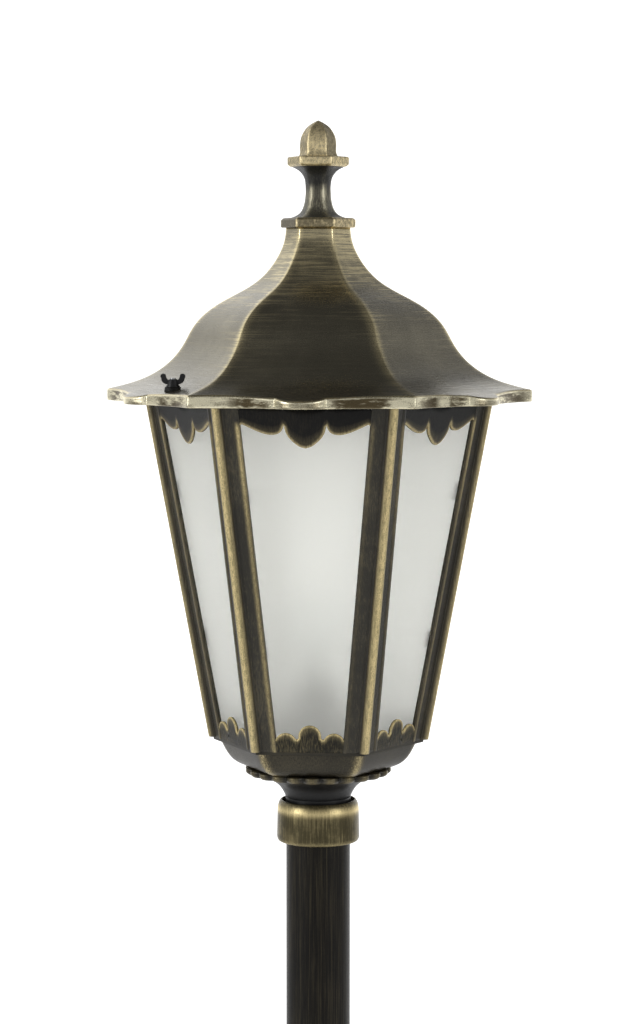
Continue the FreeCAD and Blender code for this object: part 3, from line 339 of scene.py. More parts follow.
def patina(name, ground, shine, brush, streak, worn=1.0, gold=BRASS, rough=(0.30, 0.42),
           stipple=0.00012, cloud=0.5, gloss=0.5, patches=(13.0, 13.0, 13.0), dull=0.35):
    """Patinated brass: a dark ground with brass rubbed through along brush strokes and on edges.

    ground is the patina's colour, shine how metallic and gloss how shiny it is; gold is the bare
    brass and rough the range of its roughness.  brush is the strokes' features per metre and
    streak how much brass they leave everywhere; patches and cloud say how large and how strong
    their uneven spots are.  The mesh's own fields add the rest: edge where brass is bare, to the
    share worn and at least dull, and brushed where the strokes are strong.
    """
    s = Surface(name)
    strokes = s.noise(brush, detail=6.0, rough=0.75)
    clouds = s.noise(patches, detail=4.0, rough=0.6)
    grit = s.noise((1100.0, 1100.0, 1100.0), detail=2.0)
    ragged = s.math("ADD", s.math("MULTIPLY", strokes, 0.8), s.math("MULTIPLY", grit, 0.45))
    edges = s.math("MULTIPLY", s.field("edge"), worn)
    rubbed = s.math("MULTIPLY", edges, s.step(ragged, 0.42, 0.78, dull, 1.15))
    patchy = s.math("ADD", strokes, s.math("MULTIPLY", clouds, cloud))
    even = cloud * 0.5
    lines = s.step(patchy, 0.46 + even, 0.68 + even)
    brushed = s.math("MULTIPLY", lines, s.math("ADD", s.field("brushed"), streak))
    share = s.math("ADD", rubbed, brushed, clamp=True)
    deep = tuple(c * 0.72 for c in ground)
    tone = s.mix(s.step(clouds, 0.35, 0.7), deep, ground)
    normal = s.bump(s.math("ADD", grit, s.math("MULTIPLY", strokes, 0.6)), stipple)
    return s.finish(
        color=s.mix(share, tone, gold),
        metallic=s.step(share, 0.0, 0.5, shine, 0.95),
        roughness=s.step(s.math("ADD", grit, strokes), 0.7, 1.3, *rough),
        normal=normal,
        Specular_IOR_Level=gloss,
    )


def plain(name, color, metallic=0.0, rough=(0.35, 0.5), size=400.0, depth=0.00004, shade=0.75,
          **sockets):
    """Even finish with fine mottling in its colour, gloss and surface."""
    s = Surface(name)
    fine = s.noise((size, size, size), detail=4.0)
    wide = s.noise((size / 12, size / 12, size / 12), detail=2.0)
    tone = s.mix(s.step(wide, 0.3, 0.7), tuple(c * shade for c in color), color)
    return s.finish(
        color=tone,
        metallic=metallic,
        roughness=s.step(fine, 0.3, 0.7, *rough),
        normal=s.bump(fine, depth),
        **sockets,
    )


def satin_glass():
    """Etched glass: blurs what is behind it and scatters part of the light; a faint painted glow makes the
    panes look lit from within.
    """
    s = Surface("satin_glass")
    cloud = s.noise((9.0, 9.0, 6.0), detail=2.0)
    etch = s.noise((2500.0, 2500.0, 2500.0), detail=2.0)
    s.finish(
        color=s.mix(cloud, (0.985, 0.988, 0.968), (0.995, 0.997, 0.980)),
        roughness=s.step(etch, 0.3, 0.7, 0.58, 0.66),
        normal=s.bump(etch, 0.00002),
        Transmission_Weight=1.0,
        IOR=1.22,
        # painted glow: the panes give off a little light of their own, though they are no lamp
        Emission_Color=(1.0, 1.0, 0.965, 1.0),
        Emission_Strength=0.11,
    )
    scatter = s.tree.nodes.new("ShaderNodeBsdfTranslucent")
    scatter.inputs["Color"].default_value = (0.99, 0.995, 0.97, 1.0)
    scattered = 0.42
    blend = s.tree.nodes.new("ShaderNodeMixShader")
    blend.inputs[0].default_value = scattered
    s.put(blend.inputs[1], s.shader.outputs[0])
    s.put(blend.inputs[2], scatter.outputs[0])
    s.put(s.tree.nodes["Material Output"].inputs["Surface"], blend.outputs[0])
    return s.material


AROUND = (18.0, 18.0, 900.0)             # strokes that run round the lamp
UPRIGHT = (900.0, 900.0, 12.0)           # strokes that run up and down
EVERY_WAY = (420.0, 420.0, 260.0)

YELLOW_BRASS = (0.84, 0.69, 0.36)
# near-white brass: the colour of the painted highlights on the rim
HIGHLIGHT_CREAM_BRASS = (1.0, 0.93, 0.68)

roof_patina = patina(
    "roof_patina", (0.28, 0.255, 0.19), 0.92, AROUND, 0.04,
    gold=(0.84, 0.72, 0.43), rough=(0.22, 0.34), stipple=0.00007)
# the rim: its pale brass is partly rubbed wear and partly painted highlight
rim_patina_and_highlight = patina(
    "rim_patina_and_highlight", (0.15, 0.115, 0.06), 0.85, (40.0, 40.0, 200.0), 1.0, worn=0.9,
    gold=HIGHLIGHT_CREAM_BRASS, rough=(0.22, 0.38), cloud=0.85, patches=(30.0, 30.0, 70.0), dull=0.5)
post_patina = patina(
    "post_patina", (0.046, 0.042, 0.031), 0.3, UPRIGHT, 0.06,
    gold=YELLOW_BRASS, stipple=0.0003, dull=0.4)
# near-black ground: black patina, darkened further as painted shade for the lambrequin under the roof's
# overhang
ornament_patina = patina(
    "ornament_patina", (0.0065, 0.006, 0.005), 0.0, UPRIGHT, 0.02,
    rough=(0.42, 0.52), stipple=0.0003, gloss=0.25)
crest_patina = patina(
    "crest_patina", (0.017, 0.015, 0.0085), 0.1, UPRIGHT, 0.13,
    gold=YELLOW_BRASS, rough=(0.4, 0.5), stipple=0.0003, gloss=0.3)
bowl_patina = patina(
    "bowl_patina", (0.038, 0.033, 0.022), 0.55, UPRIGHT, 0.05, worn=0.42, rough=(0.26, 0.38))
# dark ground and little brass: the rosette's patina, darkened further as painted shade where the ring lies
# in shadow
rosette_patina = patina("rosette_patina", (0.014, 0.012, 0.008), 0.3, UPRIGHT, 0.03, worn=0.42)
collar_patina = patina(
    "collar_patina", (0.062, 0.053, 0.026), 0.8, UPRIGHT, 0.22,
    gold=YELLOW_BRASS, patches=(60.0, 60.0, 60.0), dull=0.75)
finial_patina = patina(
    "finial_patina", (0.035, 0.032, 0.024), 0.4, EVERY_WAY, 0.06,
    gold=(1.0, 0.84, 0.50), stipple=0.0003, dull=0.45)
stem_patina = patina(
    "stem_patina", (0.015, 0.015, 0.0125), 0.3, UPRIGHT, 0.06,
    gold=(0.58, 0.54, 0.40), stipple=0.0003)
cage_patina = patina("cage_patina", (0.04, 0.036, 0.026), 0.3, AROUND, 0.06)
pole_patina = patina(
    "pole_patina", (0.005, 0.0037, 0.002), 0.0, UPRIGHT, 0.07,
    rough=(0.34, 0.46), gloss=0.22, cloud=0.15, patches=(40.0, 40.0, 12.0))
neck_black = plain("neck_black", (0.006, 0.006, 0.0065), rough=(0.30, 0.42), depth=0.00008)
cast_foot = patina(
    "cast_foot", (0.020, 0.016, 0.011), 0.1, (300.0, 300.0, 300.0), 0.05,
    rough=(0.4, 0.55), stipple=0.0004)

MATERIALS = {
    "cast_foot": cast_foot,
    "dark_steel": plain("dark_steel", (0.02, 0.02, 0.021), metallic=0.3, rough=(0.3, 0.45)),
    "rubber": plain("rubber", (0.02, 0.02, 0.02), rough=(0.6, 0.8)),
    "pole_patina": pole_patina,
    "collar_patina": collar_patina,
    "neck_black": neck_black,
    "zinc_steel": plain("zinc_steel", (0.55, 0.56, 0.57), metallic=1.0, rough=(0.28, 0.42)),
    "rosette_patina": rosette_patina,
    "bowl_patina": bowl_patina,
    "cage_patina": cage_patina,
    "spring_steel": plain("spring_steel", (0.5, 0.5, 0.5), metallic=1.0, rough=(0.25, 0.4)),
    "ornament_patina": ornament_patina,
    "roof_patina": roof_patina,
    "inner_steel": plain("inner_steel", (0.42, 0.42, 0.41), metallic=0.9, rough=(0.35, 0.5)),
    "finial_patina": finial_patina,
    "post_patina": post_patina,
    "ceramic": plain("ceramic", (0.80, 0.78, 0.72), rough=(0.12, 0.22), shade=0.95),
    "phenolic": plain("phenolic", (0.02, 0.02, 0.02), rough=(0.35, 0.5)),
    "thread_brass": plain("thread_brass", (0.72, 0.56, 0.25), metallic=1.0, rough=(0.25, 0.4)),
    "cap_metal": plain("cap_metal", (0.75, 0.75, 0.75), metallic=1.0, rough=(0.25, 0.4)),
    "clear_glass": plain("clear_glass", (0.97, 0.98, 0.98), rough=(0.0, 0.03), depth=0.0, shade=0.99,
                         Transmission_Weight=1.0, IOR=1.45),
    "filament": plain("filament", (0.6, 0.6, 0.58), metallic=0.6, rough=(0.2, 0.35)),
    "terminal_plastic": plain("terminal_plastic", (0.85, 0.84, 0.78), rough=(0.3, 0.45), shade=0.95),
    "satin_glass": satin_glass(),
}


def dress_cad_nodes():
    """Give every CAD node the finish of its material slot."""
    for part in frame["record"]["subparts"]:
        node = frame["nodes"][part["node"]]
        node.data.materials.clear()
        node.data.materials.append(MATERIALS[part["material_slot"]])


# ---------------------------------------------------------------- roof
ROOF_TOP_R = 30.5 * MM
RIM_BAND = 10.9 * MM                     # height of the rim's upright edge at a corner
RIM_SLOPE = 0.2
RIM_REACH = 29.5 * MM
RIM_CUSP = 7.5 * MM
RIM_LOBE = 19.0 * MM
RIM_CUSP_AT = 22.6 * MM
RIM_HOLLOW = 0.8 * MM
RIM_SHOULDER = 2.5 * MM
RIM_WALL = 2.0 * MM
ROOF_SHEET = 1.5 * MM
OGEE = (
    (0.764, 0.145),
    (0.640, 0.236),
    (0.570, 0.330),
    (0.520, 0.424),
    (0.376, 0.562),
    (0.152, 0.700),
    (0.045, 0.837),
    (0.009, 0.931),
    (0.0, 1.0),
)


RIM_TALL = 12 * MM                       # the rim's own finish reaches this high
RIM_DEEP = 3.5 * MM                      # and this far in
RIM_ROUND = 1.5 * MM                     # rounding of the rim's top edge
RIM_FACE_LOW = 1.2 * MM                  # height of the rim's bottom rounding
RIM_CLEAR = 0.05 * MM                    # keeps the rim just inside the sheet it stands for
SKIRT_FROM = 0.90                        # where the skirt starts, as a share of the rim's radius
CREST_R = 5 * MM                         # radius of the hole under the finial
RIDGE_ROUND = 1.1 * MM
CORNER_WEAR = 14 * MM
CUSP_WEAR = 5.5 * MM
LOBE_WEAR = 12 * MM
RIDGE_WEAR = 4.8 * MM
STROKE_REACH = 15 * MM                   # how far the strong strokes run beside a ridge
# stretches of the rim that are rubbed bare: side, middle and half-width as shares of the side
RIM_RUBS = (
    (4, -0.78, 0.17),
    (4, 0.86, 0.08),
    (5, -0.55, 0.08),
    (3, 0.30, 0.12),
    (0, 0.4, 0.2),
    (1, -0.5, 0.15),
    (2, 0.2, 0.2),
)


def roof_skin():
    """The roof's sheet with its ogee, soft ridges and wavy rim, partly rubbed bare and partly pale with
    painted highlights.
    """
    low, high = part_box("roof_shell")
    rim_r = high.x
    height = high.z - low.z
    spread = rim_r - ROOF_TOP_R
    knots = [(rim_r, low.z + RIM_BAND)]
    knots += [(ROOF_TOP_R + spread * out, low.z + height * up) for out, up in OGEE]
    curve = smooth_curve(knots, 220)[::-1]
    radii = np.append(np.maximum.accumulate(curve[:, 0]), rim_r + RIM_REACH)
    heights = np.append(curve[:, 1], low.z + RIM_BAND - RIM_REACH * RIM_SLOPE)

    half = rim_r / 2
    shoulder = smooth_curve([
        (RIM_CUSP_AT, RIM_CUSP),
        (half * 0.45, RIM_SHOULDER),
        (half * 0.72, -RIM_HOLLOW),
        (half, 0.0),
    ], 40)
    lobe_rise = RIM_LOBE - RIM_CUSP
    lobe_r = (RIM_CUSP_AT ** 2 + lobe_rise ** 2) / (2 * lobe_rise)

    def standing_out(across):
        """How far the rim's outline lies outside the hexagon's side."""
        across = abs(across)
        if across < RIM_CUSP_AT:
            return RIM_LOBE - lobe_r + math.sqrt(lobe_r ** 2 - across ** 2)
        return float(np.interp(across, shoulder[:, 0], shoulder[:, 1]))

    cusp_share = RIM_CUSP_AT / half
    lobe_steps, outer_steps = 8, 22
    middle = [cusp_share * math.sin(math.pi / 2 * i / lobe_steps) for i in range(lobe_steps + 1)]
    eased = [0.5 - 0.5 * math.cos(math.pi * i / outer_steps) for i in range(1, outer_steps + 1)]
    right = middle + [cusp_share + (1 - cusp_share) * t for t in eased]
    shares = [-s for s in right[:0:-1]] + right[:-1]

    inner_r = SKIRT_FROM * rim_r
    upper = [(r, z) for r, z in curve[::2] if r < inner_r]

    def bright(across):
        """How much pale brass the rim shows at the corners, the cusps and the lobe's middle: partly rubbed
        bare, partly a painted highlight.
        """
        across = abs(across)
        corner = bell((half - across) / CORNER_WEAR)
        cusp = bell((across - RIM_CUSP_AT) / CUSP_WEAR)
        return max(corner, cusp, 0.75 * bell(across / LOBE_WEAR))

    rings = []
    edge = []
    brushed = []
    for side in range(SIDES):
        c, s = math.cos(side_turn(side)), math.sin(side_turn(side))
        for share in shares:
            rim_face = rim_r * FLAT + standing_out(share * half) - RIM_CLEAR
            bare = bright(share * half)
            for rubbed_side, middle, width in RIM_RUBS:
                if side == rubbed_side:
                    bare = max(bare, math.exp(-((share - middle) / width) ** 4))
            rows = []                       # face distance, across, height, nearness to an edge

            def row(face, across, level, tone=0.0):
                rows.append((face, across, level, tone))

            for r in (CREST_R, ROOF_TOP_R * 0.6):
                row(r * FLAT, share * r / 2, high.z)
            for r, z in upper:
                row(r * FLAT, share * r / 2, z)
            def sheet_level(face):
                return float(np.interp(face / FLAT, radii, heights))

            def skirt_across(face):
                t = (face - inner_r * FLAT) / (rim_face - inner_r * FLAT)
                return share * (inner_r + (rim_r - inner_r) * t) / 2

            edge_at = share * half
            skirt = np.linspace(inner_r * FLAT, rim_face - RIM_ROUND, 14)
            for face in skirt:
                tone = max(0.0, 1 - (rim_face - RIM_ROUND - face) / (3 * MM)) * 0.5 * bare
                row(face, skirt_across(face), sheet_level(face), tone)
            top = sheet_level(rim_face)
            # pale brass on the rim's rounded top edge: partly rubbed wear, partly painted highlight
            for angle in (30, 60, 90):
                a = math.radians(angle)
                out, down = RIM_ROUND * (1 - math.sin(a)), RIM_ROUND * (1 - math.cos(a))
                row(rim_face - out, edge_at, top - down, 0.8 + 0.2 * bare)
            for z in np.linspace(top - 2.2 * MM, low.z + RIM_FACE_LOW, 5):
                row(rim_face, edge_at, z, bare)
            row(rim_face - 0.35 * MM, edge_at, low.z + 0.35 * MM, 0.25 + 0.75 * bare)
            row(rim_face - RIM_FACE_LOW, edge_at, low.z, 0.3 * bare)
            row(rim_face - RIM_WALL, edge_at, low.z)
            row(rim_face - RIM_WALL - 0.1 * MM, edge_at, top - ROOF_SHEET)
            for face in skirt[::-3]:
                if face < rim_face - RIM_WALL - 0.5 * MM:
                    row(face, skirt_across(face), sheet_level(face) - ROOF_SHEET)
                else:
                    row(rim_face - RIM_WALL - 0.2 * MM, edge_at, top - ROOF_SHEET)
            for r, z in upper[::-4]:
                inner = max(r - ROOF_SHEET, 4 * MM)
                row(inner * FLAT, share * (r - ROOF_SHEET) / 2, z - ROOF_SHEET * 0.6)
            row(CREST_R * FLAT, share * CREST_R / 2, high.z - ROOF_SHEET)

            ring = []
            marks = []
            strokes = []
            for face, across, level, tone in rows:
                radius = face / FLAT
                angle = max(-0.5236, min(0.5236, math.atan2(across, face)))
                pull = softened(radius, angle, RIDGE_ROUND)
                x, y = face * pull, across * pull
                ring.append((x * c - y * s, x * s + y * c, level))
                reach = (1.0 - abs(share)) * radius / 2
                up = rise(level, low.z, height)
                neck = 0.30 * rise(up, 0.55, 0.3)
                ridge = bell(reach / RIDGE_WEAR) * min(1.0, 0.25 + up * 1.8)
                marks.append(max(tone, neck, ridge))
                beside_ridge = math.exp(-reach / STROKE_REACH) * min(1.0, up * 1.9)
                strokes.append(min(1.0, 0.95 * beside_ridge + 0.9 * rise(up, 0.45, 0.4)))
            rings.append(ring)
            edge.append(marks)
            brushed.append(strokes)
    mesh = loft("roof_skin", rings, edge=edge, brushed=brushed)
    made = piece("roof_skin", mesh, "roof", "roof_patina", roof_patina, "roof_shell")
    made.data.materials.append(rim_patina_and_highlight)
    facing = [(math.cos(side_turn(side)), math.sin(side_turn(side))) for side in range(SIDES)]
    for polygon in made.data.polygons:
        spot = polygon.center
        face = max(spot.x * c + spot.y * s for c, s in facing)
        upright = abs(polygon.normal.z) < 0.6
        if upright and spot.z < low.z + RIM_TALL and face > rim_r * FLAT - RIM_DEEP:
            polygon.material_index = 1


BOSS_BORE = 3.0 * MM
BOSS_FOOT_R = 7.9 * MM
BOSS_TOP_R = 7.4 * MM
BOSS_ABOVE = 12 * MM                     # the bosses' underside over the rim's
BOSS_GAP = 0.05 * MM


def roof_bosses():
    """Cast bosses that the wing nuts bear on."""
    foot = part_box("roof_shell")[0].z + BOSS_ABOVE
    for side in ("left", "right"):
        washer_low, washer_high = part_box(f"wing_washer_{side}")
        centre = (washer_low + washer_high) / 2
        top = washer_low.z - BOSS_GAP
        profile, _ = rounded_profile(
            [(BOSS_BORE, foot), (BOSS_FOOT_R, foot), (BOSS_TOP_R, top), (BOSS_BORE, top)], 0.9 * MM)
        mesh = lathe(f"roof_boss_{side}", profile, 48)
        mesh.transform(Matrix.Translation((centre.x, centre.y, 0)))
        piece(f"roof_boss_{side}", mesh, "roof", "roof_patina", ornament_patina)


# ---------------------------------------------------------------- finial
FINIAL_BORE = 4 * MM                     # radius of the rod's hole through stem and plates
FINIAL_ROUND = 0.8 * MM
STEM_ROUND = 2.0 * MM
PLATE_DENTS = 0.16 * MM
STEM_DENTS = 0.28 * MM
BUD_DENTS = 0.26 * MM
WAIST_R = 13.0 * MM
HEAD_R = 26.0 * MM


def finial_plate(node, piece_name, under, over, worn, facets):
    """Six-sided plate, bevelled by under at its bottom and by over at its top."""
    low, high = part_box(node)
    r = high.x
    profile, tones = rounded_profile([
        (FINIAL_BORE, low.z),
        (r - under, low.z),
        (r, low.z + under * 0.8),
        (r, high.z - over * 0.8),
        (r - over, high.z),
        (FINIAL_BORE, high.z),
    ], FINIAL_ROUND)
    wear = [worn + (0.9 - worn) * worn * t for t in tones]
    mesh = hex_loft(piece_name, profile, FINIAL_ROUND, edge_fields=wear, hammered=PLATE_DENTS,
                    facets=facets)
    piece(piece_name, mesh, "roof", "finial_patina", finial_patina, node)


def finial_stem():
    """Waisted stem: silvery round its waist, black where it flares under the cap plate."""
    low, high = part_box("finial_stem")
    foot, h = high.x, high.z - low.z
    to_foot, to_head = foot - WAIST_R, HEAD_R - WAIST_R
    outer = smooth_curve([
        (foot, low.z),
        (WAIST_R + to_foot * 0.38, low.z + h * 0.10),
        (WAIST_R + to_foot * 0.17, low.z + h * 0.21),
        (WAIST_R + to_foot * 0.07, low.z + h * 0.32),
        (WAIST_R, low.z + h * 0.52),
        (WAIST_R + to_head * 0.06, low.z + h * 0.73),
        (WAIST_R + to_head * 0.22, low.z + h * 0.84),
        (WAIST_R + to_head * 0.58, low.z + h * 0.94),
        (HEAD_R, high.z),
    ], 52).tolist()
    profile = [(FINIAL_BORE, low.z)] + outer + [(FINIAL_BORE, high.z)]
    share = [(level - low.z) / h for _, level in profile]
    tones = [0.05 + 0.22 * bell((t - 0.34) / 0.26) for t in share]
    dark = [0.96 * rise(t, 0.52, 0.16) for t in share]
    mesh = hex_loft("finial_stem_cast", profile, STEM_ROUND, edge_fields=tones, shade=dark,
                    hammered=STEM_DENTS, crease=0.75)
    piece("finial_stem_cast", mesh, "roof", "finial_patina", stem_patina, "finial_stem")


def finial_bud():
    """Pointed six-sided bud, its front face rubbed the most."""
    low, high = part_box("finial_bud")
    r, h = high.x, high.z - low.z
    outer = smooth_curve([
        (r, low.z + 0.6 * MM),
        (r - 1.0 * MM, low.z + h * 0.10),
        (r - 1.1 * MM, low.z + h * 0.28),
        (r - 1.4 * MM, low.z + h * 0.42),
        (r - 3.4 * MM, low.z + h * 0.62),
        (r - 8.4 * MM, low.z + h * 0.83),
        (2.4 * MM, low.z + h * 0.975),
        (0.0, high.z),
    ], 48).tolist()
    profile = [(0.0, low.z), (r - 0.6 * MM, low.z)] + outer
    worn = [0.95] * len(profile)
    facets = (0.6, 0.35, 0.5, 0.45, 1.0, 0.35)
    mesh = hex_loft("finial_bud_cast", profile, FINIAL_ROUND, edge_fields=worn, hammered=BUD_DENTS,
                    facets=facets)
    piece("finial_bud_cast", mesh, "roof", "finial_patina", finial_patina, "finial_bud")


def finial():
    base_facets = (1.0, 0.8, 0.6, 0.4, 0.8, 1.4)
    cap_facets = (1.0, 0.8, 0.9, 0.55, 1.0, 0.9)
    finial_plate("finial_base_plate", "finial_base_cast", 1.0 * MM, 2.4 * MM, 0.22, base_facets)
    finial_plate("finial_cap_plate", "finial_cap_cast", 2.6 * MM, 1.2 * MM, 0.85, cap_facets)
    finial_stem()
    finial_bud()


# ---------------------------------------------------------------- cage
LEG = 20.5 * MM
LEG_T = 4.2 * MM
BEAD_OUT = 3.4 * MM
BEAD_ROOT = 5.0 * MM
LEG_FIELD = 0.9 * MM
KNEE = 12.0 * MM
ORNAMENT_T = 2.6 * MM
ORNAMENT_SET = 0.7 * MM
POST_DENTS = 0.16 * MM
POST_DENT_SIZE = 2.6 * MM
POST_CLEAR = 0.05 * MM                   # keeps the hammered skin inside the post it stands for
POST_ROWS = 150
BEAD_STEPS = 8
BEAD_WEAR = 60.0                         # degrees round the bead
STRIP_AT = 17.6 * MM                     # brass strip on each leg's inner edge
STRIP_WIDE = 1.9 * MM
STRIP_TOP = 13 * MM
STRIP_FADE = 6 * MM
FRESH_REACH = 75 * MM                    # how far down from its top a strip is still bright
PLATE_ROUND = 0.9 * MM
PLATE_RUB = 2.8 * MM                     # width of the rubbed margin of an ornament
# how much brass is left on the two legs' inner strips of each post, counter-clockwise leg first
STRIP_WEAR = ((0.25, 0.3), (0.35, 0.2), (0.3, 0.25), (0.3, 0.25), (0.5, 0.12), (0.1, 0.06))


def cage():
    """Corner radius of the cage by height, from the first post's box."""
    low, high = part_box("corner_post_1")
    foot_r = low.x + LEG * 0.5 + FLAT * LEG_T
    head_r = high.x - BEAD_OUT
    return low.z, high.z, foot_r, head_r


CAGE_LOW, CAGE_HIGH, CAGE_FOOT_R, CAGE_HEAD_R = cage()


def cage_r(level):
    """Corner radius of the tapered cage at a height."""
    return CAGE_FOOT_R + (CAGE_HEAD_R - CAGE_FOOT_R) * (level - CAGE_LOW) / (CAGE_HIGH - CAGE_LOW)


def leg_point(along, depth):
    """Point of a post's leg, by how far it is along the leg and how deep under its face."""
    return (-0.5 * along - FLAT * depth, FLAT * along - 0.5 * depth)


def post_section():
    """Half section from the bead's crest to the knee: point, brass share, hammering."""
    bead_end = leg_point(BEAD_ROOT, LEG_FIELD)
    sag = BEAD_OUT - bead_end[0]
    radius = (bead_end[1] ** 2 + sag ** 2) / (2 * sag)
    reach = math.asin(bead_end[1] / radius)
    if sag > radius:
        reach = math.pi - reach
    points = []
    for i in range(BEAD_STEPS + 1):
        a = reach * i / BEAD_STEPS
        x = BEAD_OUT - radius + radius * math.cos(a)
        points.append((x, radius * math.sin(a), bell(math.degrees(a) / BEAD_WEAR), 0.3))
    front = smooth_curve([
        (5.3, 1.0), (6.2, 1.2), (7.6, 0.9), (10.5, 0.8), (14.0, 0.9), (15.6, 0.85),
        (16.6, 0.25), (17.8, 0.0), (19.0, 0.1), (20.0, 0.7), (20.5, 1.8),
    ], 34) * MM
    for along, depth in front:
        brass = 0.9 * bell((along - STRIP_AT) / STRIP_WIDE)
        field = 1.0 if 7 * MM < along < 16 * MM else 0.4
        points.append((*leg_point(along, max(depth, 0.0)), brass, field))
    for along, depth in ((LEG, 3.0 * MM), (LEG, LEG_T), (16 * MM, LEG_T), (KNEE, LEG_T)):
        points.append((*leg_point(along, depth), 0.0, 0.0))
    return points


def corner_posts():
    """Hammered corner posts with a bead at the corner and a rubbed strip along each leg."""
    half = post_section()
    section = half + [(x, -y, brass, field) for x, y, brass, field in half[:0:-1]]
    plan = np.array([(x, y) for x, y, _, _ in section])
    ahead = np.roll(plan, -1, axis=0) - np.roll(plan, 1, axis=0)
    out = np.stack([ahead[:, 1], -ahead[:, 0]], axis=1)
    out /= np.linalg.norm(out, axis=1)[:, None]
    if out[0][0] < 0:
        out = -out
    brass = np.array([s[2] for s in section])
    field = np.array([s[3] for s in section])
    levels = np.linspace(CAGE_LOW, CAGE_HIGH, POST_ROWS)
    beaded = BEAD_STEPS + 4
    for i in range(SIDES):
        turn = math.radians(SIDE_STEP * i)
        c, s = math.cos(turn), math.sin(turn)
        ahead_kept, behind_kept = STRIP_WEAR[i]
        rings = []
        tones = []
        for level in levels:
            corner = cage_r(level)
            below_top = CAGE_HIGH - level
            hook = rise(below_top, STRIP_TOP, STRIP_FADE)
            fresh = bell(below_top / FRESH_REACH)
            ring = []
            for (x, y), (nx, ny), hammered in zip(plan, out, field):
                spot = (x + i * 0.13, y, level * 0.8)
                push = POST_DENTS * hammered * grain(spot, POST_DENT_SIZE, i * 3.7) - POST_CLEAR
                px, py = corner + x + nx * push, y + ny * push
                ring.append((px * c - py * s, px * s + py * c, level))
            rings.append(ring)
            tone = []
            for n, bare in enumerate(brass):
                kept = ahead_kept if n < len(half) else behind_kept
                strip = hook * (kept + (1.0 - kept) * fresh * min(1.0, 3.0 * kept))
                on_bead = n < beaded or n > len(section) - beaded
                tone.append(bare if on_bead else bare * strip)
            tones.append(tone)
        mesh = loft(f"corner_post_cast_{i + 1}", rings, wrap=False, edge=tones)
        piece(f"corner_post_cast_{i + 1}", mesh, "post", "post_patina", post_patina, f"corner_post_{i + 1}")


def edge_plate(name, outline, base, side):
    """Cut-out plate with a rounded wavy edge; outline is (across, height) from end to end."""
    line = np.array(outline)
    ahead = np.gradient(line, axis=0)
    inward = np.stack([-ahead[:, 1], ahead[:, 0]], axis=1)
    inward /= np.linalg.norm(inward, axis=1)[:, None]
    if np.sum(inward[:, 1]) * (base - line[:, 1].mean()) < 0:
        inward = -inward
    c, s = math.cos(side_turn(side)), math.sin(side_turn(side))

    def place(across, level, depth):
        face = cage_r(level) * FLAT - ORNAMENT_SET - depth
        return (face * c - across * s, face * s + across * c, level)

    rings = []
    tones = []
    for spot, into in zip(line, inward):
        ring = []
        tone = []

        def add(into_by, depth, mark):
            at = spot + into * into_by
            ring.append(place(at[0], at[1], depth))
            tone.append(mark)

        add(0.0, ORNAMENT_T, 0.1)
        add(0.0, ORNAMENT_T * 0.65, 0.3)
        for angle in (0, 22, 45, 68, 90):
            a = math.radians(angle)
            add(PLATE_ROUND * (1 - math.cos(a)), PLATE_ROUND * (1 - math.sin(a)), 1.0)
        add(1.7 * MM, 0.0, 0.45)
        add(PLATE_RUB, 0.0, 0.12)
        start = spot + into * PLATE_RUB
        for t in (0.25, 0.5, 0.75, 1.0):
            at = start * (1 - t) + np.array([spot[0], base]) * t
            ring.append(place(at[0], at[1], 0.0))
            tone.append(0.0)
        for t in (1.0, 0.5):
            at = start * (1 - t) + np.array([spot[0], base]) * t
            ring.append(place(at[0], at[1], ORNAMENT_T))
            tone.append(0.0)
        rings.append(ring)
        tones.append(tone)
    return loft(name, rings, wrap=False, edge=tones)


def mirrored(right_half):
    """Whole outline from its right half, which starts at the middle."""
    left = [(-x, z) for x, z in right_half[:0:-1]]
    return left + list(right_half)


def top_ornaments():
    """Lambrequin under the roof: a deep middle lobe and a shallow one on each side."""
    for side in range(SIDES):
        reach = cage_r(CAGE_HIGH) / 2 - LEG
        lobe = smooth_curve([(0, -37.0), (4.9, -35.6), (9.5, -32.5), (16.5, -24.5), (18.8, -16.5)], 22) * MM
        swag = smooth_curve(
            [(18.8, -16.5), (22, -22.6), (29, -25.0), (39, -23.2), (50, -18.5), (56, -15.6)], 26) * MM
        hook = smooth_curve([(56, -15.6), (57.6, -17.0), (58.0, -20.0)], 6) * MM
        half = np.concatenate([lobe, swag[1:], hook[1:]])
        half[:, 0] = np.minimum(half[:, 0], reach)
        outline = [(x, CAGE_HIGH + z) for x, z in mirrored([tuple(p) for p in half])]
        name = f"top_ornament_{side + 1}"
        mesh = edge_plate(name, outline, CAGE_HIGH - 0.1 * MM, side)
        # its near-black finish is partly painted shade from the roof's overhang
        made = piece(name, mesh, "post", "ornament_patina", ornament_patina)
        if side == 0:
            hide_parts("top_ornaments")


def bottom_ornaments():
    """Three rounded crests standing on the sill, the middle one tallest."""
    for side in range(SIDES):
        middle = arc((10.2, 13.6), (-10.2, 13.6), -11.8, 25)[::-1]
        middle = middle[len(middle) // 2:]
        crest = arc((13.0, 12.6), (31.0, 12.4), 5.6, 18)
        half = np.concatenate([middle, [(11.6, 12.2)], crest, [(32.4, 11.9), (34.0, 11.2)]]) * MM
        outline = [(x, CAGE_LOW + z) for x, z in mirrored([tuple(p) for p in half])]
        name = f"bottom_ornament_{side + 1}"
        mesh = edge_plate(name, outline, CAGE_LOW + 0.1 * MM, side)
        made = piece(name, mesh, "post", "ornament_patina", crest_patina)
        if side == 0:
            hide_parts("bottom_ornaments")


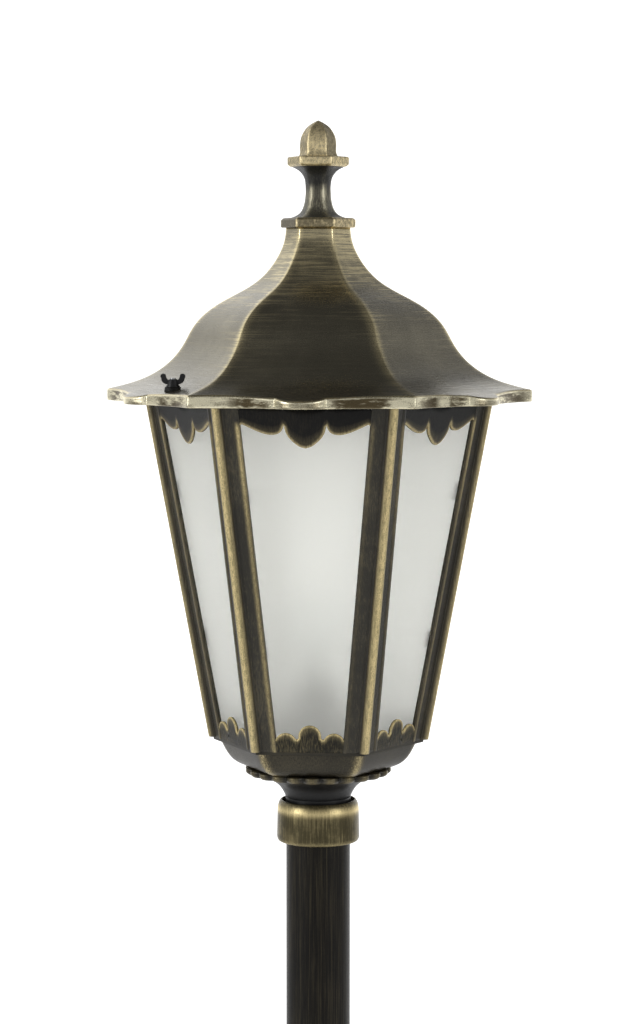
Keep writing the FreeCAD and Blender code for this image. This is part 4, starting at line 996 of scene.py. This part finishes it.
# ---------------------------------------------------------------- bowl, rosette, neck and collar
NIPPLE_HOLE = 10.2 * MM
BOWL_FLOOR_R = 68.4 * MM
BOWL_SHEET = 2.0 * MM
BOWL_ROUND = 2.2 * MM
ROSETTE_LOBES = 24
ROSETTE_WAVE = 0.07
POLE_HOLE = 30.1 * MM
NECK_HOLE = 34.0 * MM
COLLAR_STEP = 20.0 * MM                  # height where the collar's hole widens for the neck
COLLAR_DRAFT = 0.6 * MM
COLLAR_FOOT = 4.0 * MM
COLLAR_HEAD = 8.0 * MM


def bowl():
    """Six-sided bowl of sheet metal, open at its top."""
    low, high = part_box("bottom_bowl")
    top_r, h = high.x, high.z - low.z
    flare = top_r - BOWL_FLOOR_R

    def skin(inset):
        return smooth_curve([
            (BOWL_FLOOR_R - inset, low.z + inset),
            (BOWL_FLOOR_R + flare * 0.49 - inset, low.z + h * 0.22 + inset),
            (BOWL_FLOOR_R + flare * 0.76 - inset, low.z + h * 0.53 + inset),
            (top_r - inset, high.z),
        ], 24).tolist()

    outside, inside = skin(0.0), skin(BOWL_SHEET)[::-1]
    profile = [(NIPPLE_HOLE, low.z)] + outside + inside + [(NIPPLE_HOLE, low.z + BOWL_SHEET)]
    mesh = hex_loft("bowl_cast", profile, BOWL_ROUND, segments=24)
    piece("bowl_cast", mesh, "post", "bowl_patina", bowl_patina, "bottom_bowl")


def rosette():
    """Lobed ring, rubbed on the crests of its lobes."""
    low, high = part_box("rosette_ring")
    r = high.x
    profile, tones = rounded_profile([
        (NIPPLE_HOLE, low.z),
        (r - 3.0 * MM, low.z),
        (r, low.z + 2.4 * MM),
        (r, high.z),
        (NIPPLE_HOLE, high.z),
    ], 1.2 * MM)

    def lobe(angle):
        return abs(math.cos(angle * ROSETTE_LOBES / 2)) ** 0.8

    def wave(angle, k):
        return 1.0 if profile[k][0] < r * 0.8 else 1.0 - ROSETTE_WAVE * (1.0 - lobe(angle))

    def bare(angle):
        return 0.75 * lobe(angle) ** 3

    mesh = lathe("rosette_cast", profile, ROSETTE_LOBES * 16, edge=tones, wave=wave, bare=bare)
    piece("rosette_cast", mesh, "post", "rosette_patina", rosette_patina, "rosette_ring")


def collar():
    """Turned collar with a large rounded shoulder and a rounded foot; the bright brass band round the
    shoulder is a painted highlight.
    """
    low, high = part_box("pole_collar")
    r, h = high.x, high.z - low.z
    top_r = r - COLLAR_DRAFT
    wall_h = h - COLLAR_FOOT - COLLAR_HEAD
    steps = (0.2, 0.4, 0.6, 0.7, 0.78, 0.84, 0.9, 0.95)
    wall = [(r - COLLAR_DRAFT * t, low.z + COLLAR_FOOT + wall_h * t) for t in steps]
    profile, _ = rounded_profile([
        (POLE_HOLE, low.z),
        (r - 3.4 * MM, low.z),
        (r - 1.0 * MM, low.z + 1.2 * MM),
        (r, low.z + COLLAR_FOOT),
        *wall,
        (top_r, high.z - COLLAR_HEAD),
        (top_r - 1.0 * MM, high.z - 3.2 * MM),
        (top_r - 2.6 * MM, high.z - 0.6 * MM),
        (NECK_HOLE + 0.2 * MM, high.z),
        (NECK_HOLE, high.z - 1.0 * MM),
        (NECK_HOLE, low.z + COLLAR_STEP),
        (POLE_HOLE, low.z + COLLAR_STEP),
    ], 2.0 * MM, 6)
    share = [(level - low.z) / h for _, level in profile]
    # painted highlight: a band of bare brass where the shoulder turns, and a little brass at the foot
    highlight_at, highlight_wide, foot_wide = 0.80, 0.085, 0.07
    edge = [0.95 * bell((t - highlight_at) / highlight_wide) + 0.3 * bell(t / foot_wide) + 0.05 for t in share]
    mesh = lathe("collar_cast", profile, 128, edge=edge)
    piece("collar_cast", mesh, "post", "collar_patina", collar_patina, "pole_collar")


# ---------------------------------------------------------------- stage, camera and light
FLOOR_R = 3.9
FLOOR_EDGES = 96
LENS = 96.7
CAMERA_AWAY = 2.550                      # from the pole's axis
CAMERA_ABOVE = 0.5146                    # over the collar's foot
CAMERA_ROUND = 5.0                       # degrees to the right of the front
CAMERA_DOWN = 4.61
CAMERA_ASIDE = 0.035
AIM = (0.0, 0.0, 1.6)                    # the lantern's middle


def stage():
    """Round pale floor, large enough for the lamp's shadow and its surroundings."""
    floor = bpy.data.meshes.new("studio_floor")
    around = []
    for i in range(FLOOR_EDGES):
        a = 2 * math.pi * i / FLOOR_EDGES
        around.append((FLOOR_R * math.cos(a), FLOOR_R * math.sin(a), 0.0))
    floor.from_pydata(around, [], [tuple(range(FLOOR_EDGES))])
    made = bpy.data.objects.new("studio_floor", floor)
    bpy.context.scene.collection.objects.link(made)
    pale = plain("pale_floor", (0.88, 0.88, 0.88), rough=(0.7, 0.8), size=40.0, depth=0.0, shade=0.985,
                 Emission_Color=(1.0, 1.0, 1.0, 1.0), Emission_Strength=0.38)
    floor.materials.append(pale)


def camera():
    data = bpy.data.cameras.new("camera")
    data.lens = LENS
    data.sensor_width = 36.0
    data.clip_end = 100.0
    made = bpy.data.objects.new("camera", data)
    bpy.context.scene.collection.objects.link(made)
    azimuth = math.radians(CAMERA_ROUND)
    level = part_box("pole_collar")[0].z + CAMERA_ABOVE
    made.location = (CAMERA_AWAY * math.sin(azimuth), -CAMERA_AWAY * math.cos(azimuth), level)
    tilt = math.radians(90.0) - math.radians(CAMERA_DOWN)
    made.rotation_euler = (tilt, 0.0, azimuth + math.radians(CAMERA_ASIDE))
    bpy.context.scene.camera = made


def area_light(name, place, size, power):
    data = bpy.data.lights.new(name, "AREA")
    data.shape = "RECTANGLE"
    data.size, data.size_y = size
    data.energy = power
    made = bpy.data.objects.new(name, data)
    bpy.context.scene.collection.objects.link(made)
    made.location = place
    made.rotation_euler = (Vector(AIM) - Vector(place)).to_track_quat("-Z", "Y").to_euler()


FRONT_WALL = 0.42
BACK_WALL = 1.42
LEFT_WALL = 1.05
RIGHT_WALL = 0.36
CEILING = 0.10


def studio():
    """A lit room: bright walls behind and on the left, dimmer on the right and in front, dark above."""
    world = bpy.data.worlds.new("studio")
    bpy.context.scene.world = world
    world.use_nodes = True
    tree = world.node_tree
    background = tree.nodes["Background"]
    coord = tree.nodes.new("ShaderNodeTexCoord")
    split = tree.nodes.new("ShaderNodeSeparateXYZ")
    tree.links.new(coord.outputs["Generated"], split.inputs[0])

    def ramp(axis, start, end, low, high):
        """Smooth change with the direction's X, Y or Z."""
        node = tree.nodes.new("ShaderNodeMapRange")
        node.interpolation_type = "SMOOTHSTEP"
        tree.links.new(split.outputs[axis], node.inputs["Value"])
        for key, level in (("From Min", start), ("From Max", end), ("To Min", low), ("To Max", high)):
            node.inputs[key].default_value = level
        return node.outputs["Result"]

    def join(kind, a, b):
        """Two values put together; each is a socket or a number."""
        node = tree.nodes.new("ShaderNodeMath")
        node.operation = kind
        for socket, value in zip(node.inputs, (a, b)):
            if isinstance(value, float):
                socket.default_value = value
            else:
                tree.links.new(value, socket)
        return node.outputs[0]

    wall = join("MULTIPLY", ramp("Y", 0.42, 0.92, FRONT_WALL, BACK_WALL), ramp("Z", 0.33, 0.46, 1.0, 0.0))
    left = join("MULTIPLY", ramp("X", -0.42, -0.02, LEFT_WALL, 0.0), ramp("Z", 0.55, 0.90, 1.0, 0.0))
    dimmed = join("MULTIPLY", ramp("Y", -0.75, 0.10, 0.35, 1.0), ramp("Z", 0.10, 0.40, 0.45, 1.0))
    left = join("MULTIPLY", left, dimmed)
    right = join("MULTIPLY", ramp("X", 0.05, 0.35, 0.0, RIGHT_WALL), ramp("Z", 0.55, 0.90, 1.0, 0.0))
    room = join("MAXIMUM", join("MAXIMUM", wall, CEILING), join("MAXIMUM", left, right))
    seen = tree.nodes.new("ShaderNodeLightPath")
    background.inputs["Color"].default_value = (1.0, 1.0, 1.0, 1.0)
    tree.links.new(join("MAXIMUM", seen.outputs["Is Camera Ray"], room), background.inputs["Strength"])

    area_light("softbox_left", (-2.4, -1.7, 2.2), (0.9, 1.6), 22.0)
    area_light("softbox_right", (2.4, -1.5, 2.2), (0.8, 1.6), 14.0)
    bpy.context.scene.view_settings.view_transform = "Standard"


# ---------------------------------------------------------------- build
dress_cad_nodes()
roof_skin()
roof_bosses()
finial()
corner_posts()
top_ornaments()
bottom_ornaments()
bowl()
rosette()
collar()
stage()
camera()
studio()
